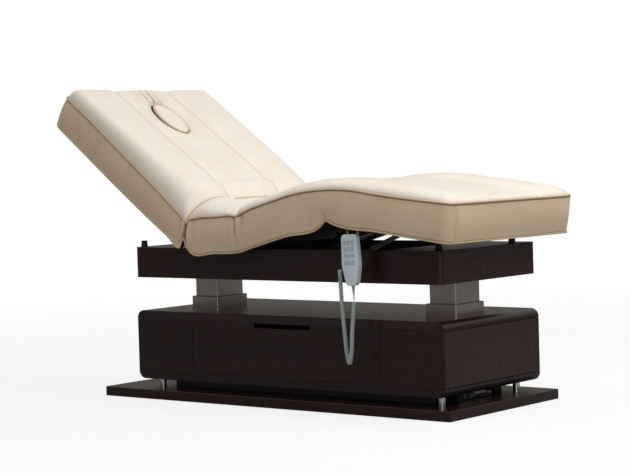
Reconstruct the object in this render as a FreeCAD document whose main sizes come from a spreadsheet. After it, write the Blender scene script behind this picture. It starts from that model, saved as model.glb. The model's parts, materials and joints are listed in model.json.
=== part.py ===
import FreeCAD, Part
import math
import os
import re

import Sketcher

# Facial treatment bed: a low wooden cabinet with a drawer stands on a plinth board, two
# telescopic columns lift a wooden frame, and the frame carries a hinged four-section mattress.
# Millimetres. The origin is on the floor, midway between the two columns. +X points to the
# foot end, -Y to the drawer side and +Z up. The rest position has the back raised and the
# knees bent, so each hinged section is built flat about its own hinge and then tilted.

SIZES = {
    # Plinth board and the cabinet on its stand-off posts
    "plinth_head_end": 849,
    "plinth_foot_end": 759,
    "plinth_half_width": 340,
    "plinth_thickness": 36,
    "cabinet_half_length": 712,
    "cabinet_half_width": 293.5,
    "cabinet_bottom": 70,
    "cabinet_top": 329,
    "board": 31.5,
    "panel": 18,
    "shadow_gap": 1.5,
    "post_radius": 13,
    "post_x": 650,
    "post_y": 230,
    "bearer_half_length": 600,
    "bearer_y": 190,
    "bearer_width": 40,
    # Drawer
    "drawer_half_length": 433,
    "drawer_side_x": 422,
    "drawer_side_thickness": 12,
    "drawer_back_y": 185,
    "drawer_floor": 116,
    "drawer_side_top": 250,
    "drawer_grip_length": 260,
    "drawer_grip_height": 16,
    "divider_x": 436,
    "runner_length": 450,
    "runner_bottom": 172,
    "runner_height": 34,
    # Lifting columns
    "column_x": 553,
    "outer_sleeve_x": 133,
    "outer_sleeve_y": 175,
    "outer_sleeve_top": 369,
    "inner_sleeve_x": 114.5,
    "inner_sleeve_y": 149.5,
    "inner_sleeve_bottom": 148,
    "sleeve_wall": 3,
    "sleeve_corner": 7,
    "base_plate_half_x": 80,
    "base_plate_half_y": 105,
    "base_plate_thickness": 8,
    "gearbox_half_x": 30,
    "gearbox_half_y": 45,
    "gearbox_top": 104,
    "ram_radius": 10,
    "ram_tube_radius": 22,
    "ram_tube_top": 350,
    "ram_rod_bottom": 150,
    "head_plate_half_x": 75,
    "head_plate_half_y": 240,
    # Lifted frame
    "frame_middle": -6,
    "frame_half_length": 711,
    "frame_half_width": 292,
    "frame_bottom": 454,
    "frame_top": 568,
    "corner_post": 28,
    "corner_post_radius": 20,
    "deck_start": 462,
    "subframe_bottom": 462,
    "subframe_top": 497,
    "subframe_outer_y": 261,
    "subframe_tube": 25,
    # Mattress sections: hinge line height, hinge places, lengths and rest tilts in degrees
    "hinge_height": 592,
    "back_hinge_x": -393,
    "thigh_hinge_x": -124.3,
    "back_length": 782,
    "thigh_length": 405.3,
    "leg_length": 525,
    "back_tilt": 37.5,
    "thigh_tilt": 15.5,
    "leg_tilt": 7.5,
    "section_panel_half_width": 355,
    "section_panel_end_gap": 20,
    "hinge_gap": 16,
    "cushion_half_width": 381,
    "cushion_skirt": 34,
    "cushion_side_top": 94,
    "cushion_crown": 148,
    "cushion_corner": 40,
    "cushion_gap": 1,
    "panel_play": 4,
    # Clearance angles that the plain cushion solids leave, from the largest fold of each hinge
    "back_fold_half": 35,
    "thigh_fold_half": 15,
    "knee_fold_half": 22.5,
    # Face hole and plug
    "face_hole_from_head": 185,
    "face_hole_length": 220,
    "face_hole_width": 148,
    # Steelwork
    "plate": 6,
    "arm_y": 229,
    "leg_arm_y": 221,
    "arm_depth": 20,
    "cross_tube_radius": 10,
    "back_arm_length": 480,
    "leg_arm_length": 330,
    "knuckle_radius": 14,
    "pin_radius": 6,
    "pin_clearance": 0.05,
    # Back actuator: a slotted rod end pushes a pin on a lever that hangs straight down at rest
    "lever_length": 80,
    "back_actuator_y": 100,
    "back_actuator_height": 518,
    "rod_radius": 9,
    "actuator_radius": 18,
    # Leg actuator between the frame and a lever under the thigh section
    "leg_actuator_x": -235,
    "leg_actuator_z": 488,
    "thigh_lever_x": 345,
    "thigh_lever_depth": 66,
    # Strut that sets the angle of the leg section
    "link_x": 152,
    "link_z": 545,
    "link_y": 34,
    "leg_link_along": 150,
    "leg_link_depth": 30,
    "link_pin_radius": 5,
    "link_play": 3.3,
    # Handset
    "handset_x": 388,
    "handset_y": -372,
    "handset_z": 540,
    "handset_lean": 2.5,
    "handset_half_height": 88,
    "handset_half_depth": 12,
    "key_length": 46,
    "key_height": 15,
    "key_pitch": 22.8,
    "key_first_drop": 27,
    "key_pin_radius": 0.9,
    "key_pin_end": 2,
    "key_pin_depth": 1.9,
    "cord_radius": 8,
    "strap_bottom": 570,
    "strap_top": 688,
    "strap_thickness": 3,
}

doc = FreeCAD.newDocument("treatment_bed")
sheet = doc.addObject("Spreadsheet::Sheet", "Sizes")
for row, (alias, number) in enumerate(SIZES.items(), start=1):
    sheet.set(f"A{row}", alias)
    sheet.set(f"B{row}", str(number))
    sheet.setAlias(f"B{row}", alias)
doc.recompute()

nodes = []
X_AXIS = FreeCAD.Vector(1, 0, 0)
Y_AXIS = FreeCAD.Vector(0, 1, 0)
Z_AXIS = FreeCAD.Vector(0, 0, 1)


# ---------------------------------------------------------------- helpers


def size(alias):
    """The number that a cell of the sheet holds."""
    return float(sheet.get(alias))


def formula(text):
    """An expression for setExpression, with each size read from the sheet."""
    return re.sub(r"[a-z_]{3,}", lambda m: f"Sizes.{m[0]}" if m[0] in SIZES else m[0], str(text))


def bind(obj, prop, text):
    obj.setExpression(prop, formula(text))


def bind_place(obj, x=0, y=0, z=0):
    for axis, text in zip("xyz", (x, y, z)):
        bind(obj, f"Placement.Base.{axis}", text)


def node(label, obj):
    """Marks an object as a sub-part; its label names its file."""
    obj.Label = label
    nodes.append(obj)
    return obj


def block(name, low, high):
    """A box between two corners, each given as three sizes or formulas."""
    box = doc.addObject("Part::Box", name)
    for prop, start, end in zip(("Length", "Width", "Height"), low, high):
        bind(box, prop, f"({end}) - ({start})")
    bind_place(box, *low)
    return box


TURNS = {
    "x": FreeCAD.Rotation(Y_AXIS, 90),
    "y": FreeCAD.Rotation(X_AXIS, -90),
    "z": FreeCAD.Rotation(),
}


def cylinder(name, start, axis, length, radius):
    """A cylinder that runs from start in the positive direction of an axis."""
    rod = doc.addObject("Part::Cylinder", name)
    bind(rod, "Radius", radius)
    bind(rod, "Height", length)
    rod.Placement.Rotation = TURNS[axis]
    bind_place(rod, *start)
    return rod


def cut(name, base, *tools):
    result = base
    for number, tool in enumerate(tools):
        step = doc.addObject("Part::Cut", f"{name}_cut{number}")
        step.Base = result
        step.Tool = tool
        result = step
    return result


def fuse(name, *parts):
    whole = doc.addObject("Part::MultiFuse", name)
    whole.Shapes = list(parts)
    return whole


def common(name, *parts):
    whole = doc.addObject("Part::MultiCommon", name)
    whole.Shapes = list(parts)
    return whole


def group(name, parts):
    """Several separate solids in one sub-part."""
    whole = doc.addObject("Part::Compound", name)
    whole.Links = list(parts)
    return whole


def rounded(base, radius, direction=None, keep=None):
    """Rounds edges: all of them, or those along a direction and in the places that keep accepts."""
    doc.recompute()
    chosen = []
    for number, edge in enumerate(base.Shape.Edges, start=1):
        along = edge.tangentAt(edge.FirstParameter)
        fits = direction is None or abs(along.dot(direction)) > 0.99
        if fits and (keep is None or keep(edge.CenterOfMass)):
            chosen.append((number, radius, radius))
    fillet = doc.addObject("Part::Fillet", base.Name + "_round")
    fillet.Base = base
    fillet.Edges = chosen
    return fillet


def origin_plane(body, role):
    return next(p for p in body.Origin.OriginFeatures if p.Role == role)


def prism(name, role, points, thickness):
    """A body padded both ways from an origin plane, from an outline with bound corners."""
    body = doc.addObject("PartDesign::Body", name)
    sketch = body.newObject("Sketcher::SketchObject", name + "_outline")
    sketch.AttachmentSupport = [(origin_plane(body, role), "")]
    sketch.MapMode = "FlatFace"
    scratch = [(60 * math.cos(i), 60 * math.sin(i)) for i in range(len(points))]
    corners = [FreeCAD.Vector(x, y, 0) for x, y in scratch]
    count = len(points)
    for i in range(count):
        sketch.addGeometry(Part.LineSegment(corners[i], corners[(i + 1) % count]))
    for i in range(count):
        sketch.addConstraint(Sketcher.Constraint("Coincident", i, 2, (i + 1) % count, 1))
    for i, (across, up) in enumerate(points):
        for kind, text, start in (("DistanceX", across, scratch[i][0]), ("DistanceY", up, scratch[i][1])):
            number = sketch.addConstraint(Sketcher.Constraint(kind, -1, 1, i, 1, start))
            sketch.setExpression(f"Constraints[{number}]", formula(text))
    pad = body.newObject("PartDesign::Pad", name + "_pad")
    pad.Profile = sketch
    pad.Midplane = True
    bind(pad, "Length", thickness)
    return body


def copies(maker, places):
    """One object from maker for each place, numbered."""
    return [maker(number, *place) for number, place in enumerate(places)]


PIN_BORE = "pin_radius + pin_clearance"
FOUR_CORNERS = ((-1, -1), (-1, 1), (1, -1), (1, 1))
BOTH_SIDES = ((-1,), (1,))


def side_range(side, inner, outer):
    """Low and high formulas of a stretch that is mirrored about zero."""
    return (f"-({outer})", f"-({inner})") if side < 0 else (inner, outer)


def tilt(obj, x, z, angle):
    """Turns a flat-built sub-part about its hinge; a positive angle turns +X towards -Z."""
    obj.Placement = FreeCAD.Placement(FreeCAD.Vector(), FreeCAD.Rotation(Y_AXIS, 10))
    bind_place(obj, x, 0, z)
    bind(obj, "Placement.Rotation.Angle", f"({angle}) * 1 deg")
    return obj


KNEE_X = "thigh_hinge_x + thigh_length * cos(thigh_tilt * 1 deg)"
KNEE_Z = "hinge_height + thigh_length * sin(thigh_tilt * 1 deg)"


def on_back(obj):
    return tilt(obj, "back_hinge_x", "hinge_height", "back_tilt")


def on_thigh(obj):
    return tilt(obj, "thigh_hinge_x", "hinge_height", "-thigh_tilt")


def on_leg(obj):
    return tilt(obj, KNEE_X, KNEE_Z, "leg_tilt")


# ---------------------------------------------------------------- plinth and cabinet

ARRIS = 1.5
OPENING_CLEARANCE = 1
DIVIDER_BOARD = 16
BOARD_X = "cabinet_half_length - board"
BAY_LOW = "cabinet_bottom + board"
BAY_HIGH = "cabinet_top - board"


def plinth_and_posts():
    plinth = block(
        "plinth",
        ("-plinth_head_end", "-plinth_half_width", 0),
        ("plinth_foot_end", "plinth_half_width", "plinth_thickness"),
    )
    node("plinth_board", rounded(plinth, 2 * ARRIS))

    def post(number, side_x, side_y):
        place = (f"{side_x} * post_x", f"{side_y} * post_y", "plinth_thickness")
        return cylinder(f"post{number}", place, "z", "cabinet_bottom - plinth_thickness", "post_radius")

    node("standoff_posts", group("posts", copies(post, FOUR_CORNERS)))


def column_opening(name, side, low, high, clearance):
    """A block that clears the outer sleeve of one column."""
    half_x = f"(outer_sleeve_x / 2 + {clearance})"
    half_y = f"(outer_sleeve_y / 2 + {clearance})"
    middle = f"{side} * column_x"
    return block(name, (f"{middle} - {half_x}", f"-{half_y}", low), (f"{middle} + {half_x}", half_y, high))


def cabinet_boards():
    levels = {
        "cabinet_top_board": (BAY_HIGH, "cabinet_top"),
        "cabinet_bottom_board": ("cabinet_bottom", BAY_LOW),
    }
    for label, (low, high) in levels.items():
        board = block(
            label + "_blank",
            (f"-({BOARD_X})", "-cabinet_half_width", low),
            (BOARD_X, "cabinet_half_width", high),
        )
        openings = [
            column_opening(f"{label}_hole{side + 1}", side, f"{low} - 1", f"{high} + 1", OPENING_CLEARANCE)
            for side in (-1, 1)
        ]
        node(label, cut(label, rounded(board, ARRIS), *openings))


def cabinet_mouldings():
    """Quarter-round edges across the width, at the top and bottom of both ends."""
    quarters = (("", BAY_HIGH), ("-", BAY_HIGH), ("-", BAY_LOW), ("", BAY_LOW))
    pieces = []
    for number, (sign, height) in enumerate(quarters):
        quarter = doc.addObject("Part::Cylinder", f"moulding{number}")
        quarter.Angle = 90
        bind(quarter, "Radius", "board")
        bind(quarter, "Height", "2 * cabinet_half_width")
        turn = FreeCAD.Rotation(FreeCAD.Vector(0, -1, 0), 90 * number)
        quarter.Placement.Rotation = turn * FreeCAD.Rotation(X_AXIS, 90)
        bind_place(quarter, f"{sign}({BOARD_X})", "cabinet_half_width", height)
        pieces.append(quarter)
    node("cabinet_edge_mouldings", group("mouldings", pieces))


def cabinet_panels():
    low = f"{BAY_LOW} + shadow_gap / 2"
    high = f"{BAY_HIGH} - shadow_gap / 2"
    face = "cabinet_half_width"
    inside = "cabinet_half_width - panel"

    def end_panel(number, side):
        start, end = side_range(side, "cabinet_half_length - panel", "cabinet_half_length")
        blank = block(
            f"end{number}",
            (start, f"-({inside})", f"{low} + shadow_gap"),
            (end, inside, f"{high} - shadow_gap"),
        )
        return rounded(blank, ARRIS / 2)

    def front_panel(number, side):
        start, end = side_range(side, "drawer_half_length + shadow_gap", "cabinet_half_length")
        blank = block(f"front{number}", (start, f"-{face}", low), (end, f"-({inside})", high))
        return rounded(blank, ARRIS)

    def divider(number, side):
        start, end = side_range(side, "divider_x", f"divider_x + {DIVIDER_BOARD}")
        return block(f"divider{number}", (start, f"-({inside})", BAY_LOW), (end, inside, BAY_HIGH))

    node("cabinet_end_panels", group("ends", copies(end_panel, BOTH_SIDES)))
    node("cabinet_front_panels", group("fronts", copies(front_panel, BOTH_SIDES)))
    node("cabinet_dividers", group("dividers", copies(divider, BOTH_SIDES)))
    back = block("back_blank", ("-cabinet_half_length", inside, low), ("cabinet_half_length", face, high))
    node("cabinet_back_panel", rounded(back, ARRIS))


def mains_inlet():
    """A socket for the mains lead, under the foot end of the cabinet."""
    start_x, end_x = 655, 693
    start_y, end_y = -160, -90
    bottom = "cabinet_bottom - 16"
    body = block("inlet_body", (start_x, start_y, bottom), (end_x, end_y, "cabinet_bottom"))
    socket = block(
        "inlet_socket",
        (start_x + 15, start_y + 12, f"{bottom} + 3"),
        (end_x + 1, start_y + 40, "cabinet_bottom - 3"),
    )
    node("mains_inlet", cut("inlet", rounded(body, 2), socket))


# ---------------------------------------------------------------- drawer

RUNNER_START = "-(cabinet_half_width - panel) + 6"
RUNNER_PART = 4.4
RUNNER_PLAY = 0.1
RUNNER_STEP = 4  # how much lower each inner layer of a runner is than the one around it
TRAY = 6


def runner_pair(label, layer):
    """One layer of the telescopic runners; layer 0 is fixed to the divider."""
    outer = f"divider_x - {layer} * {RUNNER_PART + RUNNER_PLAY}"
    inset = layer * RUNNER_STEP

    def bar(number, side):
        start, end = side_range(side, f"{outer} - {RUNNER_PART}", outer)
        return block(
            f"runner{layer}_{number}",
            (start, RUNNER_START, f"runner_bottom + {inset}"),
            (end, f"{RUNNER_START} + runner_length", f"runner_bottom + runner_height - {inset}"),
        )

    node(label, group(f"runners{layer}", copies(bar, BOTH_SIDES)))


def drawer():
    face = "cabinet_half_width"
    inside = "cabinet_half_width - panel"
    low = f"{BAY_LOW} + shadow_gap / 2"
    high = f"{BAY_HIGH} - shadow_gap / 2"
    front = block(
        "drawer_blank", ("-drawer_half_length", f"-{face}", low), ("drawer_half_length", f"-({inside})", high)
    )
    grip = block(
        "drawer_grip",
        ("-drawer_grip_length / 2", f"-{face} - 1", f"{high} - drawer_grip_height"),
        ("drawer_grip_length / 2", f"-({inside}) + 1", f"{high} + 1"),
    )
    node("drawer_front", cut("drawer_front", rounded(front, ARRIS), grip))

    inner = "drawer_side_x - drawer_side_thickness"
    start = f"-({inside})"

    def side_board(number, side):
        near, far = side_range(side, inner, "drawer_side_x")
        low, high = (near, start, "drawer_floor - 4"), (far, "drawer_back_y", "drawer_side_top")
        return block(f"side{number}", low, high)

    node("drawer_sides", group("drawer_side_pair", copies(side_board, BOTH_SIDES)))
    rear = "drawer_back_y - drawer_side_thickness"
    node(
        "drawer_rear_board",
        block("rear", (f"-({inner})", rear, "drawer_floor - 4"), (inner, "drawer_back_y", "drawer_side_top")),
    )
    node(
        "drawer_base_board",
        block("tray", (f"-({inner})", start, "drawer_floor"), (inner, rear, f"drawer_floor + {TRAY}")),
    )
    for layer, kind in enumerate(("fixed", "mid", "sliding")):
        runner_pair(f"drawer_runner_{kind}_members", layer)


# ---------------------------------------------------------------- lifting columns


def sleeve_block(name, side, length_x, length_y, corner, low, high):
    half_x = f"({length_x}) / 2"
    half_y = f"({length_y}) / 2"
    middle = f"{side} * column_x"
    blank = block(name, (f"{middle} - {half_x}", f"-{half_y}", low), (f"{middle} + {half_x}", half_y, high))
    return rounded(blank, corner, Z_AXIS)


def sleeves(label, length_x, length_y, low, high):
    wall = 2 * size("sleeve_wall")
    corner = size("sleeve_corner")

    def tube(number, side):
        outside = sleeve_block(f"{label}{number}", side, length_x, length_y, corner, low, high)
        inside = sleeve_block(
            f"{label}{number}_bore",
            side,
            f"{length_x} - {wall}",
            f"{length_y} - {wall}",
            corner - size("sleeve_wall"),
            f"{low} - 1",
            f"{high} + 1",
        )
        return cut(f"{label}{number}", outside, inside)

    node(label, group(label + "_pair", copies(tube, BOTH_SIDES)))


def guide_collars():
    """Plastic collars in the mouths of the outer sleeves, in which the inner sleeves run."""
    play = 0.2
    less = "2 * sleeve_wall - 0.2"
    corner = size("sleeve_corner") - size("sleeve_wall") - 0.1
    low, high = "outer_sleeve_top - 30", "outer_sleeve_top - 0.5"

    def collar(number, side):
        outside = sleeve_block(
            f"collar{number}", side, f"outer_sleeve_x - {less}", f"outer_sleeve_y - {less}", corner, low, high
        )
        bore = sleeve_block(
            f"collar{number}_bore",
            side,
            f"inner_sleeve_x + {play}",
            f"inner_sleeve_y + {play}",
            size("sleeve_corner"),
            f"{low} - 1",
            f"{high} + 1",
        )
        return cut(f"collar{number}", outside, bore)

    node("column_guide_collars", group("collars", copies(collar, BOTH_SIDES)))


def lifting_columns():
    floor = "plinth_thickness"
    plate_top = "plinth_thickness + base_plate_thickness"

    def base_plate(number, side):
        middle = f"{side} * column_x"
        low = (f"{middle} - base_plate_half_x", "-base_plate_half_y", floor)
        high = (f"{middle} + base_plate_half_x", "base_plate_half_y", plate_top)
        return rounded(block(f"base{number}", low, high), 10, Z_AXIS)

    def bearer(number, side):
        """A steel bar along the bed that carries the cabinet's floor."""
        near, far = side_range(side, "bearer_y - bearer_width / 2", "bearer_y + bearer_width / 2")
        low, high = ("-bearer_half_length", near, floor), ("bearer_half_length", far, "cabinet_bottom")
        return block(f"bearer{number}", low, high)

    node("base_steelwork", group("base_steel", copies(base_plate, BOTH_SIDES) + copies(bearer, BOTH_SIDES)))
    sleeves("column_outer_sleeves", "outer_sleeve_x", "outer_sleeve_y", plate_top, "outer_sleeve_top")
    sleeves("column_inner_sleeves", "inner_sleeve_x", "inner_sleeve_y", "inner_sleeve_bottom", "frame_bottom")
    guide_collars()

    def bolt_head(number, side, side_x, side_y):
        head = doc.addObject("Part::Prism", f"bolt{number}")
        head.Polygon = 6
        head.Circumradius = 8
        head.Height = 7
        x = f"{side} * column_x + {side_x} * (base_plate_half_x - 9)"
        bind_place(head, x, f"{side_y} * (base_plate_half_y - 11)", plate_top)
        return head

    places = [(side, *corner) for side in (-1, 1) for corner in FOUR_CORNERS]
    node("base_plate_bolts", group("bolts", copies(bolt_head, places)))

    def ram_body(number, side):
        middle = f"{side} * column_x"
        gearbox = block(
            f"gear{number}",
            (f"{middle} - gearbox_half_x", "-gearbox_half_y", plate_top),
            (f"{middle} + gearbox_half_x", "gearbox_half_y", "gearbox_top"),
        )
        low = "gearbox_top - 4"
        length = "ram_tube_top - gearbox_top + 4"
        tube = cylinder(f"ram_tube{number}", (middle, 0, low), "z", length, "ram_tube_radius")
        start = (middle, 0, f"{low} + 6")
        bore = cylinder(f"ram_bore{number}", start, "z", length, "ram_radius + pin_clearance")
        return cut(f"ram_body{number}", fuse(f"ram{number}", rounded(gearbox, 4), tube), bore)

    node("column_actuator_bodies", group("ram_bodies", copies(ram_body, BOTH_SIDES)))

    def ram_rod(number, side):
        start = (f"{side} * column_x", 0, "ram_rod_bottom")
        return cylinder(f"ram_rod{number}", start, "z", "frame_bottom - ram_rod_bottom", "ram_radius")

    node("column_actuator_rods", group("ram_rods", copies(ram_rod, BOTH_SIDES)))

    def head_plate(number, side):
        middle = f"{side} * column_x"
        return block(
            f"head{number}",
            (f"{middle} - head_plate_half_x", "-head_plate_half_y", "frame_bottom"),
            (f"{middle} + head_plate_half_x", "head_plate_half_y", "subframe_bottom"),
        )

    node("column_head_plates", group("head_plates", copies(head_plate, BOTH_SIDES)))


# ---------------------------------------------------------------- lifted frame

DECK_GAP = 0.5
STOP_PLACES = ((-694, -262), (-694, 262), (650, -225), (650, 225))

def wooden_frame():
    """The frame is built about zero and then moved to its middle."""
    low, high = "frame_bottom", "frame_top"
    post_x = "frame_half_length - corner_post"
    post_y = "frame_half_width - corner_post"

    def side_rail(number, side):
        near, far = side_range(side, "frame_half_width - panel", "frame_half_width")
        rail = block(f"rail{number}", (f"-({post_x}) + 1", near, low), (f"{post_x} - 1", far, high))
        return rounded(rail, ARRIS)

    def end_rail(number, side):
        near, far = side_range(side, "frame_half_length - panel", "frame_half_length")
        rail = block(f"end_rail{number}", (near, f"-({post_y}) + 1", low), (far, f"{post_y} - 1", high))
        return rounded(rail, ARRIS)

    def corner_post(number, side_x, side_y):
        near_x, far_x = side_range(side_x, post_x, "frame_half_length")
        near_y, far_y = side_range(side_y, post_y, "frame_half_width")
        blank = block(f"corner{number}", (near_x, near_y, low), (far_x, far_y, high))
        reach = size("frame_half_length") - 1

        def outermost(point):
            return abs(point.x) > reach and abs(point.y) > size("frame_half_width") - 1

        return rounded(blank, size("corner_post_radius"), Z_AXIS, outermost)

    def deck(number, side):
        """A board between the rails, notched round the corner posts."""
        floor = "frame_top - panel"
        edge_x, edge_y = f"frame_half_length - panel - {DECK_GAP}", f"(frame_half_width - panel - {DECK_GAP})"
        notch_x, notch_y = f"{post_x} - {DECK_GAP}", f"({post_y} - {DECK_GAP})"
        near, far = side_range(side, "deck_start", edge_x)
        middle = block(f"deck_middle{number}", (near, f"-{notch_y}", floor), (far, notch_y, high))
        near, far = side_range(side, "deck_start", notch_x)
        wide = block(f"deck_wide{number}", (near, f"-{edge_y}", floor), (far, edge_y, high))
        return fuse(f"deck{number}", middle, wide)

    members = {
        "frame_side_rails": (side_rail, BOTH_SIDES),
        "frame_end_rails": (end_rail, BOTH_SIDES),
        "frame_corner_posts": (corner_post, FOUR_CORNERS),
        "frame_decks": (deck, BOTH_SIDES),
    }
    for label, (maker, places) in members.items():
        member = group(label + "_group", copies(maker, places))
        bind_place(member, "frame_middle")
        node(label, member)


def rubber_stops():
    """Conical buffers that carry the back and leg panels when they are lowered."""

    def stop(number, x, y):
        cone = doc.addObject("Part::Cone", f"stop{number}")
        cone.Radius1 = 13
        cone.Radius2 = 10.5
        bind(cone, "Height", "hinge_height - frame_top - 0.5")
        bind_place(cone, x, y, "frame_top")
        return cone

    node("rubber_stops", group("stops", copies(stop, STOP_PLACES)))


# Middle and half width of each bar across the subframe; the outer ones carry the columns
CROSS_TUBES = (("-column_x", 30), ("leg_actuator_x - 40", 15), ("link_x", 15), ("column_x", 30))
EAR_PLATE = 6


def steel_subframe():
    inner = "subframe_outer_y - subframe_tube"
    beams = []
    for side in (-1, 1):
        near, far = side_range(side, inner, "subframe_outer_y")
        beams.append(
            block(
                f"beam{side + 1}",
                ("-frame_half_length + corner_post + 1", near, "subframe_bottom"),
                ("frame_half_length - corner_post - 1", far, "subframe_top"),
            )
        )
    for number, (middle, half) in enumerate(CROSS_TUBES):
        beams.append(
            block(
                f"cross{number}",
                (f"{middle} - {half}", f"-({inner}) - 2", "subframe_bottom"),
                (f"{middle} + {half}", f"{inner} + 2", "subframe_top"),
            )
        )
    leg_ears = ear_pair(
        "leg_actuator",
        ("leg_actuator_x", 0, "leg_actuator_z"),
        ("leg_actuator_x - 37", "subframe_bottom + 4"),
        inner_half=14,
        radius=14,
        pin_radius="pin_radius",
    )
    link_ears = ear_pair(
        "link",
        ("link_x", "link_y", "link_z"),
        ("link_x - 12", "subframe_top - 2"),
        inner_half=10,
        radius=12,
        pin_radius="link_pin_radius",
    )
    node("steel_subframe", fuse("subframe", *beams, *leg_ears, *link_ears))


def ear_pair(name, pivot, foot, inner_half, radius, pin_radius):
    """Two upright plates with round heads either side of a pivot, and the pin between them."""
    x, y, z = pivot
    foot_x, foot_z = foot
    parts = []
    for side in (-1, 1):
        near, far = side_range(side, inner_half, inner_half + EAR_PLATE)
        low = (f"min({foot_x}; {x} - {radius})", f"{y} + {near}", foot_z)
        parts.append(block(f"{name}_ear_web{side + 1}", low, (f"{x} + {radius}", f"{y} + {far}", z)))
        start = (x, f"{y} + {near}", z)
        parts.append(cylinder(f"{name}_ear_head{side + 1}", start, "y", EAR_PLATE, radius))
    reach = inner_half + EAR_PLATE + 1
    parts.append(cylinder(f"{name}_pin", (x, f"{y} - {reach}", z), "y", 2 * reach, pin_radius))
    return parts


def hinge_brackets():
    """Upright plates that hold the back and thigh hinge pins on the steel subframe."""
    outer = "arm_y + plate + 1"

    def bracket(number, side):
        near, far = side_range(side, outer, f"{outer} + plate")
        web = block(
            f"bracket{number}_web",
            ("back_hinge_x - 12", near, "subframe_top"),
            ("thigh_hinge_x + 12", far, "hinge_height"),
        )
        parts = [web]
        bores = []
        for mark, x in (("back", "back_hinge_x"), ("thigh", "thigh_hinge_x")):
            start = (x, near, "hinge_height")
            parts.append(cylinder(f"{mark}_eye{number}", start, "y", "plate", "knuckle_radius"))
            bores.append(
                cylinder(
                    f"{mark}_bore{number}",
                    (x, f"{near} - 1", "hinge_height"),
                    "y",
                    "plate + 2",
                    PIN_BORE,
                )
            )
        return cut(f"bracket{number}", fuse(f"bracket{number}", *parts), *bores)

    node("hinge_brackets", group("brackets", copies(bracket, BOTH_SIDES)))

    def pin(number, side, x):
        near, far = side_range(side, "arm_y - 3", f"{outer} + plate + 3")
        start = (x, near, "hinge_height")
        return cylinder(f"hinge_pin{number}", start, "y", f"({far}) - ({near})", "pin_radius")

    places = [(side, x) for side in (-1, 1) for x in ("back_hinge_x", "thigh_hinge_x")]
    node("section_hinge_pins", group("hinge_pins", copies(pin, places)))


# ---------------------------------------------------------------- mattress sections


def section_panel(name, start, end):
    """A plywood panel of a section, flat, with its underside on the hinge plane."""
    blank = block(name, (start, "-section_panel_half_width", 0), (end, "section_panel_half_width", "panel"))
    return rounded(blank, 12, Z_AXIS)


def cushion(name, low, high, outline, panel_low, panel_high):
    """A plain cushion solid: crowned top, skirt around its panel, ends cut to the side outline."""
    blank = block(
        name + "_blank",
        (low, "-cushion_half_width", "-cushion_skirt"),
        (high, "cushion_half_width", "cushion_crown + 1"),
    )
    crown_radius = "(cushion_half_width ^ 2 / (2 * (cushion_crown - cushion_side_top)))"
    start = (low, 0, f"cushion_crown - {crown_radius}")
    crown = cylinder(name + "_crown", start, "x", f"({high}) - ({low})", crown_radius)
    side = prism(name + "_side", "XZ_Plane", outline, "2 * cushion_half_width + 10")
    recess = block(
        name + "_recess",
        (panel_low, "-section_panel_half_width - panel_play", "-cushion_skirt - 1"),
        (panel_high, "section_panel_half_width + panel_play", "panel + 0.2"),
    )
    body = common(name, rounded(blank, size("cushion_corner"), Z_AXIS), crown, side)
    return cut(name, body, recess)


def fold(height, half_angle):
    """How far a cushion's end leans back at a height above or below its hinge."""
    return f"{height} * tan({half_angle} * 1 deg)"


TOP = "(cushion_crown + 5)"
BOTTOM = "(cushion_skirt + 5)"


def seat_section():
    length = "(thigh_hinge_x - back_hinge_x)"
    panel = section_panel("seat_board", "hinge_gap", f"{length} - hinge_gap")
    outline = [
        ("cushion_gap", f"-{BOTTOM}"),
        (f"{length} - cushion_gap", f"-{BOTTOM}"),
        (f"{length} - cushion_gap", 0),
        (f"{length} - cushion_gap - {fold(TOP, 'thigh_fold_half')}", TOP),
        (f"cushion_gap + {fold(TOP, 'back_fold_half')}", TOP),
        ("cushion_gap", 0),
    ]
    pad = cushion("seat_pad", "-60", f"{length} + 60", outline, "-60", f"{length} + 60")
    for label, part in (("seat_panel", panel), ("seat_cushion", pad)):
        bind_place(part, "back_hinge_x", 0, "hinge_height")
        node(label, part)


def arm_bar(name, near, far, start, end):
    return block(name, (start, near, "-arm_depth"), (end, far, 0))


def eye(name, x, z, near, thickness, radius):
    return cylinder(name, (x, near, z), "y", thickness, radius)


def back_section():
    panel = section_panel("back_board", "-back_length + section_panel_end_gap", "-hinge_gap")
    hole_x = "-back_length + face_hole_from_head"
    wide = block(
        "panel_hole_blank",
        (f"{hole_x} - face_hole_length / 2 - 8", "-face_hole_width / 2 - 8", -1),
        (f"{hole_x} + face_hole_length / 2 + 8", "face_hole_width / 2 + 8", "panel + 1"),
    )
    node("back_panel", on_back(cut("back_board_holed", panel, rounded(wide, 60, Z_AXIS))))

    outline = [
        ("-back_length - 10", f"-{BOTTOM}"),
        ("-cushion_gap", f"-{BOTTOM}"),
        ("-cushion_gap", 0),
        (f"-cushion_gap - {fold(TOP, 'back_fold_half')}", TOP),
        ("-back_length - 10", TOP),
    ]
    pad = cushion("back_pad", "-back_length", "60", outline, "-back_length + section_panel_end_gap", "60")
    hole = face_plug_blank("face_hole", "-cushion_skirt - 2", "cushion_crown + 2", 0)
    node("back_cushion", on_back(cut("back_pad_holed", pad, hole)))
    node("face_plug", on_back(face_plug_blank("plug", "panel + 1", "cushion_crown - 6", 1)))
    back_arms()


def face_plug_blank(name, low, high, clearance):
    """An oval block at the face hole, smaller than the hole by a clearance all round."""
    hole_x = "-back_length + face_hole_from_head"
    blank = block(
        name + "_blank",
        (f"{hole_x} - face_hole_length / 2 + {clearance}", f"-face_hole_width / 2 + {clearance}", low),
        (f"{hole_x} + face_hole_length / 2 - {clearance}", f"face_hole_width / 2 - {clearance}", high),
    )
    return rounded(blank, size("face_hole_width") / 2 - clearance - 0.5, Z_AXIS)


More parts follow.
